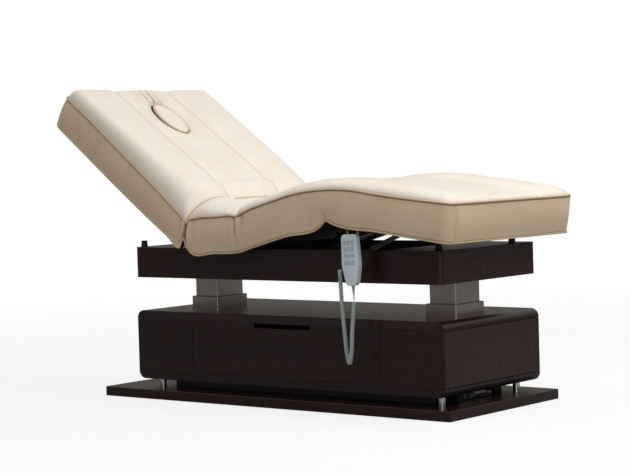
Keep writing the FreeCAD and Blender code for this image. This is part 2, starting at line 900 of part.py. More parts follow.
def back_arms():
    """Two flat arms under the back panel, a tube on the hinge line and the lever it carries."""
    parts = []
    bores = []
    for side in (-1, 1):
        near, far = side_range(side, "arm_y", "arm_y + plate")
        parts.append(arm_bar(f"back_arm{side + 1}", near, far, "-back_arm_length", 0))
        parts.append(eye(f"back_knuckle{side + 1}", 0, 0, near, "plate", "knuckle_radius"))
        bores.append(eye(f"back_arm_bore{side + 1}", 0, 0, f"{near} - 4", "plate + 8", PIN_BORE))
    parts.append(eye("back_tube", 0, 0, "-arm_y - 1", "2 * arm_y + 2", 11))
    for side in (-1, 1):
        near = f"back_actuator_y + {9 if side > 0 else -15}"
        web = block(f"lever_web{side + 1}", (-12, near, "-lever_length"), (12, f"{near} + plate", 0))
        foot = eye(f"lever_foot{side + 1}", 0, "-lever_length", near, "plate", 12)
        parts += [web, foot]
    lever_pin = eye("lever_pin", 0, "-lever_length", "back_actuator_y - 18", 36, "pin_radius")
    lever = fuse("lever", *parts[5:], lever_pin)
    lever.Placement.Rotation = FreeCAD.Rotation(Y_AXIS, -size("back_tilt"))
    arms = fuse("back_arms", *parts[:5], lever)
    node("back_support_arms", on_back(cut("back_arms", arms, *bores)))


def thigh_section():
    far_end = "thigh_length - hinge_gap"
    node("thigh_panel", on_thigh(section_panel("thigh_board", "hinge_gap", far_end)))
    outline = [
        ("cushion_gap", f"-{BOTTOM}"),
        (f"thigh_length - cushion_gap - {fold(BOTTOM, 'knee_fold_half')}", f"-{BOTTOM}"),
        ("thigh_length - cushion_gap", 0),
        ("thigh_length - cushion_gap", TOP),
        (f"cushion_gap + {fold(TOP, 'thigh_fold_half')}", TOP),
        ("cushion_gap", 0),
    ]
    pad = cushion("thigh_pad", "-60", "thigh_length + 60", outline, "-60", "thigh_length + 60")
    node("thigh_cushion", on_thigh(pad))
    thigh_arms()

    def knee_pin(number, side):
        near, far = side_range(side, "leg_arm_y - 3", "arm_y + plate + 3")
        return eye(f"knee_pin{number}", "thigh_length", 0, near, f"({far}) - ({near})", "pin_radius")

    node("knee_hinge_pins", on_thigh(group("knee_pins", copies(knee_pin, BOTH_SIDES))))


def thigh_arms():
    """Wedge plates that stiffen the thigh panel, a cross tube and the actuator's lever."""
    outline = [
        (0, 0),
        (0, -13),
        ("thigh_lever_x - 36", "-thigh_lever_depth - 7"),
        ("thigh_lever_x - 8", "-thigh_lever_depth"),
        ("thigh_lever_x - 8", "-arm_depth"),
        ("thigh_length", -12),
        ("thigh_length", 0),
    ]
    parts = []
    bores = []
    for side in (-1, 1):
        near, far = side_range(side, "arm_y", "arm_y + plate")
        wedge = prism(f"thigh_wedge{side + 1}", "XZ_Plane", outline, "plate")
        bind(wedge, "Placement.Base.y", f"({near} + {far}) / 2")
        parts.append(wedge)
        for mark, x in (("root", 0), ("knee", "thigh_length")):
            parts.append(eye(f"thigh_{mark}{side + 1}", x, 0, near, "plate", 12))
            bores.append(eye(f"thigh_{mark}_bore{side + 1}", x, 0, f"{near} - 1", "plate + 2", PIN_BORE))
    tube_x, tube_drop = "thigh_lever_x + 5", "-arm_depth - 1"
    parts.append(eye("thigh_tube", tube_x, tube_drop, "-arm_y - 1", "2 * arm_y + 2", "cross_tube_radius"))
    for side in (-1, 1):
        near = 14 if side > 0 else -20
        parts.append(
            block(
                f"thigh_lever{side + 1}",
                ("thigh_lever_x - 15", near, "-thigh_lever_depth"),
                ("thigh_lever_x + 15", near + 6, 0),
            )
        )
        parts.append(eye(f"thigh_lever_foot{side + 1}", "thigh_lever_x", "-thigh_lever_depth", near, 6, 15))
    parts.append(eye("thigh_lever_pin", "thigh_lever_x", "-thigh_lever_depth", -22, 44, "pin_radius"))
    node("thigh_support_arms", on_thigh(cut("thigh_arms", fuse("thigh_arms", *parts), *bores)))


def leg_section():
    panel_end = "leg_length - section_panel_end_gap"
    node("leg_panel", on_leg(section_panel("leg_board", "hinge_gap", panel_end)))
    outline = [
        (f"cushion_gap + {fold(BOTTOM, 'knee_fold_half')}", f"-{BOTTOM}"),
        ("leg_length + 10", f"-{BOTTOM}"),
        ("leg_length + 10", TOP),
        ("cushion_gap", TOP),
        ("cushion_gap", 0),
    ]
    pad = cushion("leg_pad", "-60", "leg_length", outline, "-60", panel_end)
    node("leg_cushion", on_leg(pad))

    parts = []
    bores = []
    for side in (-1, 1):
        near, far = side_range(side, "leg_arm_y", "leg_arm_y + plate")
        parts.append(arm_bar(f"leg_arm{side + 1}", near, far, 0, "leg_arm_length"))
        parts.append(eye(f"leg_knuckle{side + 1}", 0, 0, near, "plate", 12))
        bores.append(eye(f"leg_bore{side + 1}", 0, 0, f"{near} - 1", "plate + 2", PIN_BORE))
    parts.append(eye("leg_tube", "leg_link_along - 30", -11, "-leg_arm_y - 1", "2 * leg_arm_y + 2", 9))
    for side in (-1, 1):
        near = f"link_y + {10 if side > 0 else -16}"
        parts.append(
            block(
                f"leg_lug{side + 1}",
                ("leg_link_along - 34", near, "-leg_link_depth"),
                ("leg_link_along + 11", f"{near} + 6", 0),
            )
        )
        parts.append(eye(f"leg_lug_foot{side + 1}", "leg_link_along", "-leg_link_depth", near, 6, 11))
    pin = eye("link_upper_pin", "leg_link_along", "-leg_link_depth", "link_y - 17", 34, "link_pin_radius")
    node("leg_support_arms", on_leg(cut("leg_arms", fuse("leg_arms", *parts, pin), *bores)))


# ---------------------------------------------------------------- actuators and strut


def back_actuator():
    """A fixed motor body whose rod slides along X; the rod's slotted end takes the lever's pin."""
    y, z = "back_actuator_y", "back_actuator_height"
    mouth = "back_hinge_x + 83"
    tube_length, motor_length, motor_half = 236, 90, 34
    motor_start = f"{mouth} + {tube_length - 6}"
    tube = cylinder("back_ram_tube", (mouth, y, z), "x", tube_length, "actuator_radius")
    motor = block(
        "back_motor",
        (motor_start, f"{y} - {motor_half}", f"{z} - actuator_radius - 3"),
        (f"{motor_start} + {motor_length}", f"{y} + {motor_half}", f"{z} + {motor_half}"),
    )
    clamp = block("back_clamp", (-290, f"{y} - 26", "subframe_top"), (-262, f"{y} + 26", f"{z} - 8"))
    start = (f"{mouth} - 5", y, z)
    bore = cylinder("back_ram_bore", start, "x", tube_length - 5, "rod_radius + pin_clearance")
    body = fuse("back_ram", tube, rounded(motor, 6), clamp)
    node("back_actuator_body", cut("back_actuator_body", body, bore))

    rod = cylinder("back_rod_bar", ("back_hinge_x + 14", y, z), "x", 216, "rod_radius")
    swing = "lever_length * (1 - cos(back_tilt * 1 deg))"
    low = "hinge_height - lever_length - 24"
    high = f"hinge_height - lever_length + {swing} + 14"
    fork = block("back_fork", ("back_hinge_x - 16", f"{y} - 5", low), ("back_hinge_x + 18", f"{y} + 5", high))
    slot_low = "hinge_height - lever_length - pin_radius - 2"
    slot_high = f"hinge_height - lever_length + {swing} + pin_radius + 2"
    slot = block(
        "back_slot",
        ("back_hinge_x - pin_radius - 2", f"{y} - 6", slot_low),
        ("back_hinge_x + pin_radius + 2", f"{y} + 6", slot_high),
    )
    node("back_actuator_rod", cut("back_actuator_rod", fuse("back_rod", rod, rounded(fork, 4, Y_AXIS)), slot))


def leg_actuator():
    """A motor body pivoted on the subframe, and a rod that pushes the lever under the thigh."""
    tilt_angle = math.radians(size("thigh_tilt"))
    along = size("thigh_lever_x")
    depth = size("thigh_lever_depth")
    target_x = size("thigh_hinge_x") + along * math.cos(tilt_angle) + depth * math.sin(tilt_angle)
    target_z = size("hinge_height") + along * math.sin(tilt_angle) - depth * math.cos(tilt_angle)
    reach_x = target_x - size("leg_actuator_x")
    reach_z = target_z - size("leg_actuator_z")
    reach = math.hypot(reach_x, reach_z)
    rise = math.degrees(math.atan2(reach_z, reach_x))
    mouth = 330

    def aim(obj):
        obj.Placement = FreeCAD.Placement(FreeCAD.Vector(), FreeCAD.Rotation(Y_AXIS, -rise))
        bind_place(obj, "leg_actuator_x", 0, "leg_actuator_z")
        return obj

    lug_half, lug_radius = 13, 15
    lug = eye("leg_ram_lug", 0, 0, -lug_half, 2 * lug_half, lug_radius)
    neck = block("leg_ram_neck", (0, -lug_half, -lug_radius), (40, lug_half, lug_radius))
    motor = rounded(block("leg_motor", (34, -34, -20), (120, 20, 26)), 6)
    tube = cylinder("leg_ram_tube", (100, 0, 0), "x", mouth - 100, "actuator_radius")
    pivot = eye("leg_ram_pivot", 0, 0, -lug_half - 1, 2 * lug_half + 2, PIN_BORE)
    bore = cylinder("leg_ram_bore", (118, 0, 0), "x", mouth, "rod_radius + pin_clearance")
    body = fuse("leg_ram", lug, neck, motor, tube)
    node("leg_actuator_body", aim(cut("leg_actuator_body", body, pivot, bore)))

    play = 5
    rod = cylinder("leg_rod_bar", (180, 0, 0), "x", reach - 180 - 8, "rod_radius")
    rod_eye = eye("leg_rod_eye", reach, 0, -12, 24, "pin_radius + 11")
    open_pivot = block("leg_rod_slot", (reach - 6 - play, -13, -8), (reach + 6 + play, 13, 8))
    slot = rounded(open_pivot, 7.5, Y_AXIS)
    node("leg_actuator_rod", aim(cut("leg_actuator_rod", fuse("leg_rod", rod, rod_eye), slot)))


def leg_strut():
    """A strut from the subframe to the leg section; its upper eye has play for the motion."""
    knee = math.radians(size("thigh_tilt"))
    fall = math.radians(size("leg_tilt"))
    knee_x = size("thigh_hinge_x") + size("thigh_length") * math.cos(knee)
    knee_z = size("hinge_height") + size("thigh_length") * math.sin(knee)
    along, depth = size("leg_link_along"), size("leg_link_depth")
    top_x = knee_x + along * math.cos(fall) - depth * math.sin(fall)
    top_z = knee_z - along * math.sin(fall) - depth * math.cos(fall)
    reach = math.hypot(top_x - size("link_x"), top_z - size("link_z"))
    rise = math.degrees(math.atan2(top_z - size("link_z"), top_x - size("link_x")))
    near = "link_y - 8"
    bar = block("strut_bar", (8, "link_y - 5", -8), (reach - 10, "link_y + 5", 8))
    ends = [eye("strut_lower", 0, 0, near, 16, 11), eye("strut_upper", reach, 0, near, 16, 14)]
    bores = [
        eye("strut_lower_bore", 0, 0, "link_y - 9", 18, "link_pin_radius + pin_clearance"),
        eye("strut_upper_bore", reach, 0, "link_y - 9", 18, "link_pin_radius + link_play"),
    ]
    strut = cut("leg_strut", fuse("strut", bar, *ends), *bores)
    strut.Placement = FreeCAD.Placement(FreeCAD.Vector(), FreeCAD.Rotation(Y_AXIS, -rise))
    bind_place(strut, "link_x", 0, "link_z")
    node("leg_link", strut)


# ---------------------------------------------------------------- handset

HANDSET_TOP = "handset_half_height"
HANDSET_TOP_HALF = 32  # half widths of the handset at its top, at its widest and at its bottom
HANDSET_WIDEST_HALF = 36
HANDSET_BOTTOM_HALF = 21
HANDSET_WIDEST_Z = -22
CASE_WALL = 2.5
CASE_EDGE = 3
CASE_CORNER = 15
WINDOW_GAP = 0.4
KEY_PROUD = 1.2
PIN_GAP = 0.1


def in_handset(obj):
    """Moves a piece built about the handset's middle to its hanging place."""
    obj.Placement = FreeCAD.Placement(FreeCAD.Vector(), FreeCAD.Rotation(Y_AXIS, -size("handset_lean")))
    bind_place(obj, "handset_x", "handset_y", "handset_z")
    return obj


def handset_slab(name, inset, near, far):
    """The handset's outline as a slab between two depths, smaller by an inset."""
    half = [
        (HANDSET_TOP_HALF, f"{HANDSET_TOP} - {inset}"),
        (HANDSET_WIDEST_HALF, HANDSET_WIDEST_Z),
        (HANDSET_BOTTOM_HALF, f"-{HANDSET_TOP} + {inset}"),
    ]
    outline = [(f"-{reach} + {inset}", height) for reach, height in half]
    outline += [(f"{reach} - {inset}", height) for reach, height in reversed(half)]
    slab = prism(name, "XZ_Plane", outline, f"({far}) - ({near})")
    bind(slab, "Placement.Base.y", f"(({near}) + ({far})) / 2")
    doc.recompute()

    def top_or_bottom(point):
        return abs(point.z) > 60

    def at_the_widest(point):
        return abs(point.z - HANDSET_WIDEST_Z) < 3

    corners = rounded(slab, CASE_CORNER - inset, Y_AXIS, top_or_bottom)
    return rounded(corners, 80, Y_AXIS, at_the_widest)


def handset():
    depth = "handset_half_depth"
    front = handset_slab("front_slab", 0, f"-{depth}", 0)
    front = rounded(front, CASE_EDGE, None, lambda p: p.y < -size("handset_half_depth") + 0.01)
    back = handset_slab("back_slab", 0, 0.1, depth)
    back = rounded(back, CASE_EDGE, None, lambda p: p.y > size("handset_half_depth") - 0.01)
    front_hollow = handset_slab("front_hollow", CASE_WALL, f"-{depth} + {CASE_WALL}", 1)
    back_hollow = handset_slab("back_hollow", CASE_WALL, -1, f"{depth} - {CASE_WALL}")

    windows = []
    bearings = []
    for row, label in enumerate(("key_height", "key_back", "key_knee", "key_tilt")):
        middle = f"{HANDSET_TOP} - key_first_drop - {row} * key_pitch"
        windows.append(key_block(f"window{row}", middle, WINDOW_GAP, f"-{depth} - 2", 0))
        key = rounded(key_block(f"key{row}", middle, 0, f"-{depth} - {KEY_PROUD}", f"-{depth} + 5"), 1)
        pin = key_pin(f"key_pin{row}", middle, 0)
        bearings.append(key_pin(f"key_bearing{row}", middle, PIN_GAP))
        node("handset_" + label, in_handset(fuse(f"key_on_pin{row}", key, pin)))
    front_case = cut("front_case", front, front_hollow, *windows, *bearings)
    node("handset_front_case", in_handset(front_case))
    node("handset_back_case", in_handset(cut("back_case", back, back_hollow)))

    relief = doc.addObject("Part::Cone", "relief_cone")
    relief.Radius1 = 2.6
    relief.Radius2 = 6.5
    relief.Height = 32
    bind_place(relief, 0, 0, f"-{HANDSET_TOP} - {relief.Height.Value} - 0.2")
    lead = cylinder("relief_lead", (0, 0, f"-{HANDSET_TOP} - 50"), "z", 20, 2)
    node("handset_strain_relief", in_handset(fuse("relief", relief, lead)))


def key_block(name, middle, margin, near, far):
    return block(
        name,
        (f"-key_length / 2 - {margin}", near, f"{middle} - key_height / 2 - {margin}"),
        (f"key_length / 2 + {margin}", far, f"{middle} + key_height / 2 + {margin}"),
    )


def key_pin(name, middle, clearance):
    """The upright pin that a key rocks on, longer than the key at both ends."""
    low = f"{middle} - key_height / 2 - key_pin_end - {clearance}"
    start = (0, "-handset_half_depth + key_pin_depth", low)
    length = f"key_height + 2 * key_pin_end + {2 * clearance}"
    return cylinder(name, start, "z", length, f"key_pin_radius + {clearance}")


def handset_straps():
    """A sling of two straps from the edge of the leg panel to behind the handset."""
    near, far = "-section_panel_half_width - strap_thickness", "-section_panel_half_width"
    low = "strap_bottom"
    head_start, head_end = "handset_x - 30", "handset_x - 23"
    foot_start, foot_end = "handset_x + 12", "handset_x + 22"
    straps = [
        block("strap_head", (head_start, near, low), (head_end, far, "strap_top + 6")),
        block("strap_foot", (foot_start, near, low), (foot_end, far, "strap_top")),
        block("strap_bridge", (head_start, near, low), (foot_end, far, f"{low} + 14")),
    ]
    node("handset_straps", fuse("straps", *straps))


CORD_PATH = (
    (332, -368, 505),
    (337, -368, 400),
    (348, -368, 270),
    (356.5, -368.5, 203),
    (366, -372, 183),
    (375.5, -375.5, 203),
    (384, -375, 290),
    (394, -372, 396),
)


def coiled_cord():
    """The outer envelope of the coiled cord: a hairpin that hangs below the handset."""
    curve = Part.BSplineCurve()
    curve.interpolate([FreeCAD.Vector(*place) for place in CORD_PATH])
    spine = Part.Wire([curve.toShape()])
    start = curve.value(curve.FirstParameter)
    direction = curve.tangent(curve.FirstParameter)[0]
    ring = Part.Wire([Part.makeCircle(size("cord_radius"), start, direction)])
    cord = doc.addObject("Part::Feature", "cord")
    cord.Shape = spine.makePipeShell([ring], True, True)
    node("coiled_cord", cord)


# ---------------------------------------------------------------- build, check and write

plinth_and_posts()
cabinet_boards()
cabinet_mouldings()
cabinet_panels()
mains_inlet()
drawer()
lifting_columns()
wooden_frame()
rubber_stops()
steel_subframe()
hinge_brackets()
seat_section()
back_section()
thigh_section()
leg_section()
back_actuator()
leg_actuator()
leg_strut()
handset()
handset_straps()
coiled_cord()
doc.recompute()

for obj in doc.Objects:
    if "Invalid" in obj.State or "Error" in obj.State:
        raise RuntimeError(f"{obj.Name} failed: {obj.State}")
for part in nodes:
    if part.Shape.isNull() or not part.Shape.isValid():
        raise RuntimeError(f"{part.Label} has no valid shape")

os.makedirs("parts", exist_ok=True)
for part in nodes:
    part.Shape.exportStep(f"parts/{part.Label}.step")
    print(part.Label, len(part.Shape.Solids), round(part.Shape.Volume / 1000, 1))
print(len(nodes), "sub-parts")
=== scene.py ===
"""Looks of the facial treatment bed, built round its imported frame.

Metres, +Z up, the drawer side faces -Y and the foot end +X. The mattress is described once, as
three outlines seen from the side, and every soft piece is made from those outlines.
"""

import json
import math

import bmesh
import bpy
import numpy as np
from mathutils import Matrix, Vector


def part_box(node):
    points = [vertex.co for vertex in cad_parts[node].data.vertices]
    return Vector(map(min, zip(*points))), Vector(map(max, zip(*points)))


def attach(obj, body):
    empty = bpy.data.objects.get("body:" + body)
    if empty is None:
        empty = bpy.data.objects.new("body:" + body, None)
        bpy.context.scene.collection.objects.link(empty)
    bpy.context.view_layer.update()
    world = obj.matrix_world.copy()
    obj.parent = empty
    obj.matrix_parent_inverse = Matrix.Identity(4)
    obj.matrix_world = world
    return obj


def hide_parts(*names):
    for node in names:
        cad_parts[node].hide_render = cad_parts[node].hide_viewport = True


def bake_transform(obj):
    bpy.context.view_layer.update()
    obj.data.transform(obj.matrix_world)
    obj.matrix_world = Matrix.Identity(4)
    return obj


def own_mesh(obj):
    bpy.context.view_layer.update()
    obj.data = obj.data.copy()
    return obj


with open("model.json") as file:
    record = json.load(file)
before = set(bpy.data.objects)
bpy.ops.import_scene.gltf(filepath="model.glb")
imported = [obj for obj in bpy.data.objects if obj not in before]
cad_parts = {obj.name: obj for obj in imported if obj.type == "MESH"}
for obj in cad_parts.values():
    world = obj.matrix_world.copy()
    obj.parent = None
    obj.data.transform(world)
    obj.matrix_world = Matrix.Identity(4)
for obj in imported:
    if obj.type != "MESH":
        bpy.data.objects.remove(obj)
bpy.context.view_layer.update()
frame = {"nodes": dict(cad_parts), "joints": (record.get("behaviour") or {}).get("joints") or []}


# ---- shader helpers


class Shader:
    """The nodes of a material or of the world. add() returns the new node and the other methods
    its output socket; an input may be a number, a colour or another socket."""

    def __init__(self, name, owner=None):
        self.owner = owner or bpy.data.materials.new(name)
        self.owner.use_nodes = True
        self.tree = self.owner.node_tree
        self.tree.nodes.clear()

    def add(self, kind, inputs, **settings):
        node = self.tree.nodes.new("ShaderNode" + kind)
        for key, value in settings.items():
            setattr(node, key, value)
        for key, value in inputs.items():
            if isinstance(value, bpy.types.NodeSocket):
                self.tree.links.new(value, node.inputs[key])
            else:
                node.inputs[key].default_value = value
        return node

    def place(self, scale=(1, 1, 1), shift=(0, 0, 0), turn=(0, 0, 0)):
        """Rest position, scaled; soft pieces store theirs so that a pose doesn't move the pattern."""
        stored = self.add("Attribute", {}, attribute_name="rest_place")
        own = self.add("TexCoord", {}).outputs["Object"]
        has_stored = self.math("GREATER_THAN", stored.outputs["Fac"], 0.0)
        mixed = self.add("Mix", {0: has_stored, 4: own, 5: stored.outputs["Vector"]}, data_type="VECTOR")
        mapping = {"Vector": mixed.outputs[1], "Location": shift, "Rotation": turn, "Scale": scale}
        return self.add("Mapping", mapping).outputs[0]

    def noise(self, place, scale, detail=3.0, roughness=0.55, distortion=0.0):
        inputs = {"Vector": place, "Scale": scale, "Detail": detail}
        inputs.update({"Roughness": roughness, "Distortion": distortion})
        return self.add("TexNoise", inputs).outputs["Fac"]

    def cells(self, place, scale, feature="F1", randomness=1.0):
        inputs = {"Vector": place, "Scale": scale, "Randomness": randomness}
        return self.add("TexVoronoi", inputs, feature=feature).outputs["Distance"]

    def math(self, operation, a, b=0.0, c=0.0):
        return self.add("Math", {0: a, 1: b, 2: c}, operation=operation).outputs[0]

    def spread(self, value, low, high, to_low=0.0, to_high=1.0):
        """Maps a stretch of values to another, clamped."""
        inputs = {"Value": value, "From Min": low, "From Max": high, "To Min": to_low, "To Max": to_high}
        return self.add("MapRange", inputs).outputs[0]

    def blend(self, factor, a, b):
        """Mixes two colours, given as 3 numbers or as sockets."""
        pair = [c if isinstance(c, bpy.types.NodeSocket) else (*c, 1.0) for c in (a, b)]
        return self.add("Mix", {0: factor, 6: pair[0], 7: pair[1]}, data_type="RGBA").outputs[2]

    def bump(self, height, distance, strength=1.0, normal=None):
        inputs = {"Height": height, "Distance": distance, "Strength": strength}
        if normal is not None:
            inputs["Normal"] = normal
        return self.add("Bump", inputs).outputs[0]

    def soft_edges(self, radius):
        """A normal that rounds sharp edges by a radius."""
        return self.add("Bevel", {"Radius": radius}, samples=4).outputs[0]

    def finish(self, colour, roughness, normal=None, **others):
        """Ends the material with one principled surface; other inputs use their names with _ for spaces."""
        inputs = {"Base Color": colour if isinstance(colour, bpy.types.NodeSocket) else (*colour, 1.0)}
        inputs["Roughness"] = roughness
        if normal is not None:
            inputs["Normal"] = normal
        for key, value in others.items():
            inputs[key.replace("_", " ")] = value
        surface = self.add("BsdfPrincipled", inputs)
        self.add("OutputMaterial", {"Surface": surface.outputs[0]})
        return self.owner


# ---- materials


CREASE_REACH, CREASE_SHADE, PAINTED_CREASE_SHADE_TINT = 0.022, 0.85, (0.46, 0.29, 0.16)  # painted shade: tan darkening in creases, seams and hollows


def leather(name, light, dark, roughness=0.4):
    """Upholstery leather: pebbled grain about a millimetre wide, fine creases and a mottled tint, with
    painted shade that darkens it to tan in creases and hollows.
    """
    s = Shader(name)
    place = s.place()
    tint = s.noise(place, 7, 4)
    colour = s.blend(s.spread(tint, 0.35, 0.65), light, dark)
    pores = s.cells(place, 620, "DISTANCE_TO_EDGE")
    pebbles = s.spread(pores, 0.0, 0.16)
    creases = s.noise(place, 95, 5, 0.6, 0.4)
    colour = s.blend(s.spread(pebbles, 0.0, 0.5, 0.12, 0.0), colour, tuple(c * 0.62 for c in dark))
    # painted shade: an occlusion test darkens the colour towards tan in creases, seams and hollows
    painted_crease_shade = s.add("AmbientOcclusion", {"Distance": CREASE_REACH}, samples=8).outputs["AO"]
    colour = s.blend(s.spread(painted_crease_shade, 0.35, 0.92, CREASE_SHADE, 0.0), colour, PAINTED_CREASE_SHADE_TINT)
    height = s.math("ADD", s.math("MULTIPLY", pebbles, 0.5), s.math("MULTIPLY", creases, 0.9))
    shine = s.spread(s.noise(place, 30, 3), 0.3, 0.7, roughness - 0.05, roughness + 0.07)
    normal = s.bump(height, 0.00022, 0.5)
    return s.finish(
        colour,
        shine,
        normal,
        Specular_IOR_Level=0.42,
        Sheen_Weight=0.06,
        Sheen_Roughness=0.45,
        Subsurface_Weight=0.04,
        Subsurface_Radius=(0.004, 0.002, 0.001),
    )


def lining(name):
    """Black non-woven dust cover under the cushions."""
    s = Shader(name)
    place = s.place()
    fibres = s.noise(place, 900, 4, 0.7)
    colour = s.blend(fibres, (0.012, 0.012, 0.013), (0.035, 0.034, 0.034))
    return s.finish(colour, 0.9, s.bump(fibres, 0.0004, 0.6))


GRAIN_SCALES = {"x": (0.045, 1, 1), "y": (1, 0.045, 1), "z": (1, 1, 0.045)}
WENGE_TONES = (  # dark fibres, light fibres, growth rings and broad shade
    (0.0125, 0.0048, 0.0045),
    (0.0290, 0.0100, 0.0090),
    (0.0430, 0.0135, 0.0120),
    (0.0090, 0.0038, 0.0037),
)
WENGE_PORE = (0.004, 0.0022, 0.0022)


def wenge(name, grain, figure=(0, 0, 0), roughness=0.3, lift=1.0, arch=(1, 1, 1), coat=0.14):
    """Dark red-brown veneer under satin lacquer. grain is the axis along the fibres, figure the
    centre of the cathedral rings and arch their stretch along each axis."""
    s = Shader(name)
    fibres = s.place(GRAIN_SCALES[grain])
    rings_place = s.place(arch, tuple(-f * a for f, a in zip(figure, arch)))
    warp = s.noise(s.place((2, 2, 2)), 3.0, 3)
    distance = s.add("VectorMath", {0: rings_place}, operation="LENGTH").outputs["Value"]
    rings = s.math("SINE", s.math("MULTIPLY_ADD", distance, 260.0, s.math("MULTIPLY", warp, 22.0)))
    streaks = s.noise(fibres, 150, 6, 0.65, 0.2)
    pores = s.noise(fibres, 620, 3, 0.7)
    broad = s.noise(fibres, 22, 3)
    tones = [tuple(part * lift for part in tone) for tone in WENGE_TONES]
    brown = s.blend(s.spread(streaks, 0.36, 0.66), tones[0], tones[1])
    brown = s.blend(s.spread(rings, 0.1, 1.0, 0.0, 0.32), brown, tones[2])
    brown = s.blend(s.spread(broad, 0.4, 0.75, 0.0, 0.45), brown, tones[3])
    colour = s.blend(s.spread(pores, 0.6, 0.72, 0.0, 0.5), brown, WENGE_PORE)
    relief = s.math("ADD", s.math("MULTIPLY", pores, 0.7), s.math("MULTIPLY", streaks, 0.3))
    normal = s.bump(relief, 0.00012, 0.35, s.soft_edges(0.0012))
    shine = s.spread(streaks, 0.3, 0.7, roughness - 0.04, roughness + 0.08)
    return s.finish(colour, shine, normal, Specular_IOR_Level=0.36, Coat_Weight=coat, Coat_Roughness=0.15)


def melamine(name):
    """Pale board inside the drawer, with a faint printed grain."""
    s = Shader(name)
    grain = s.noise(s.place(GRAIN_SCALES["x"]), 190, 4, 0.6)
    colour = s.blend(s.spread(grain, 0.35, 0.65), (0.33, 0.26, 0.19), (0.24, 0.18, 0.125))
    return s.finish(colour, 0.5, s.bump(grain, 0.0001, 0.3, s.soft_edges(0.0006)))


def plywood(name):
    """Birch plywood: pale streaked face, and layers that show on the edges."""
    s = Shader(name)
    face = s.noise(s.place((0.12, 1, 1)), 120, 5, 0.6)
    layers = s.math("SINE", s.math("MULTIPLY", s.add("SeparateXYZ", {0: s.place()}).outputs[2], 2100.0))
    colour = s.blend(s.spread(face, 0.35, 0.65), (0.52, 0.37, 0.22), (0.38, 0.25, 0.14))
    colour = s.blend(s.spread(layers, 0.2, 0.8, 0.0, 0.35), colour, (0.22, 0.13, 0.07))
    return s.finish(colour, 0.6, s.bump(face, 0.0002, 0.4))


def brushed_steel(name, brushing="z", roughness=0.3, tint=(0.53, 0.475, 0.435)):
    """Stainless sleeve with fine drawn lines along one axis."""
    s = Shader(name)
    lines = s.noise(s.place(GRAIN_SCALES[brushing]), 1500, 2, 0.7)
    clouds = s.noise(s.place(), 6, 3)
    colour = s.blend(s.spread(clouds, 0.3, 0.7), tint, tuple(c * 0.86 for c in tint))
    shine = s.spread(lines, 0.3, 0.7, roughness - 0.06, roughness + 0.08)
    normal = s.bump(lines, 0.00004, 0.35, s.soft_edges(0.004))
    return s.finish(colour, shine, normal, Metallic=1.0, Anisotropic=0.5)


def polished_steel(name):
    s = Shader(name)
    smears = s.noise(s.place(), 40, 4)
    shine = s.spread(smears, 0.3, 0.75, 0.08, 0.2)
    return s.finish((0.72, 0.71, 0.7), shine, s.soft_edges(0.0006), Metallic=1.0)


def zinc_steel(name):
    """Zinc plated steel with its patchy crystals."""
    s = Shader(name)
    patches = s.cells(s.place(), 260)
    colour = s.blend(s.spread(patches, 0.1, 0.6), (0.6, 0.61, 0.63), (0.44, 0.45, 0.46))
    shine = s.spread(patches, 0.0, 0.7, 0.26, 0.42)
    return s.finish(colour, shine, s.soft_edges(0.0005), Metallic=1.0)


def black_steel(name):
    """Black powder coat: fine orange peel, a little worn to grey in scattered patches."""
    s = Shader(name)
    place = s.place()
    peel = s.noise(place, 900, 2)
    edge = s.soft_edges(0.0015)
    wear = s.spread(s.noise(place, 60, 5, 0.7), 0.62, 0.8, 0.0, 0.35)
    colour = s.blend(wear, (0.012, 0.012, 0.0135), (0.045, 0.045, 0.048))
    return s.finish(colour, 0.34, s.bump(peel, 0.00012, 0.4, edge), Specular_IOR_Level=0.5)


def moulded_plastic(name, colour, roughness=0.45, grain=700.0):
    """Moulded plastic with a fine spark-eroded texture and slightly uneven shine."""
    s = Shader(name)
    place = s.place()
    texture = s.noise(place, grain, 3, 0.7)
    clouds = s.noise(place, 14, 2)
    darker = tuple(c * 0.9 for c in colour)
    shine = s.spread(clouds, 0.3, 0.7, roughness - 0.04, roughness + 0.06)
    normal = s.bump(texture, 0.00006, 0.5, s.soft_edges(0.0008))
    return s.finish(s.blend(s.spread(clouds, 0.35, 0.65), colour, darker), shine, normal)


def rubber(name, colour):
    s = Shader(name)
    dust = s.spread(s.noise(s.place(), 120, 5, 0.7), 0.5, 0.8, 0.0, 0.3)
    pale = tuple(c * 1.8 + 0.01 for c in colour)
    bloom = s.noise(s.place(), 500, 3)
    return s.finish(s.blend(dust, colour, pale), 0.62, s.bump(bloom, 0.0001, 0.4))


def webbing(name, light, dark):
    """Woven strap: two sets of threads across each other."""
    s = Shader(name)
    axes = s.add("SeparateXYZ", {0: s.place((2600, 2600, 2600))})
    warp = s.math("SINE", axes.outputs[0])
    weft = s.math("SINE", axes.outputs[2])
    weave = s.math("MULTIPLY_ADD", warp, weft, s.noise(s.place(), 800, 2))
    colour = s.blend(s.spread(weave, -0.6, 1.2), dark, light)
    return s.finish(colour, 0.75, s.bump(weave, 0.0002, 0.5))


CREAM = leather("cream_leather", (0.92, 0.84, 0.735), (0.875, 0.785, 0.67), 0.4)
# painted shade: the border is the cream leather of the top, painted darker and tanner for the shade on the
# sides
CREAM_PAINTED_SHADE = leather("cream_leather_painted_shade", (0.83, 0.655, 0.46), (0.78, 0.60, 0.41), 0.43)
# painted shade: the piping is the cream leather, painted tan for the shade round the cord
PIPING_PAINTED_SHADE = leather("piping_leather_painted_shade", (0.74, 0.56, 0.375), (0.66, 0.475, 0.30), 0.42)
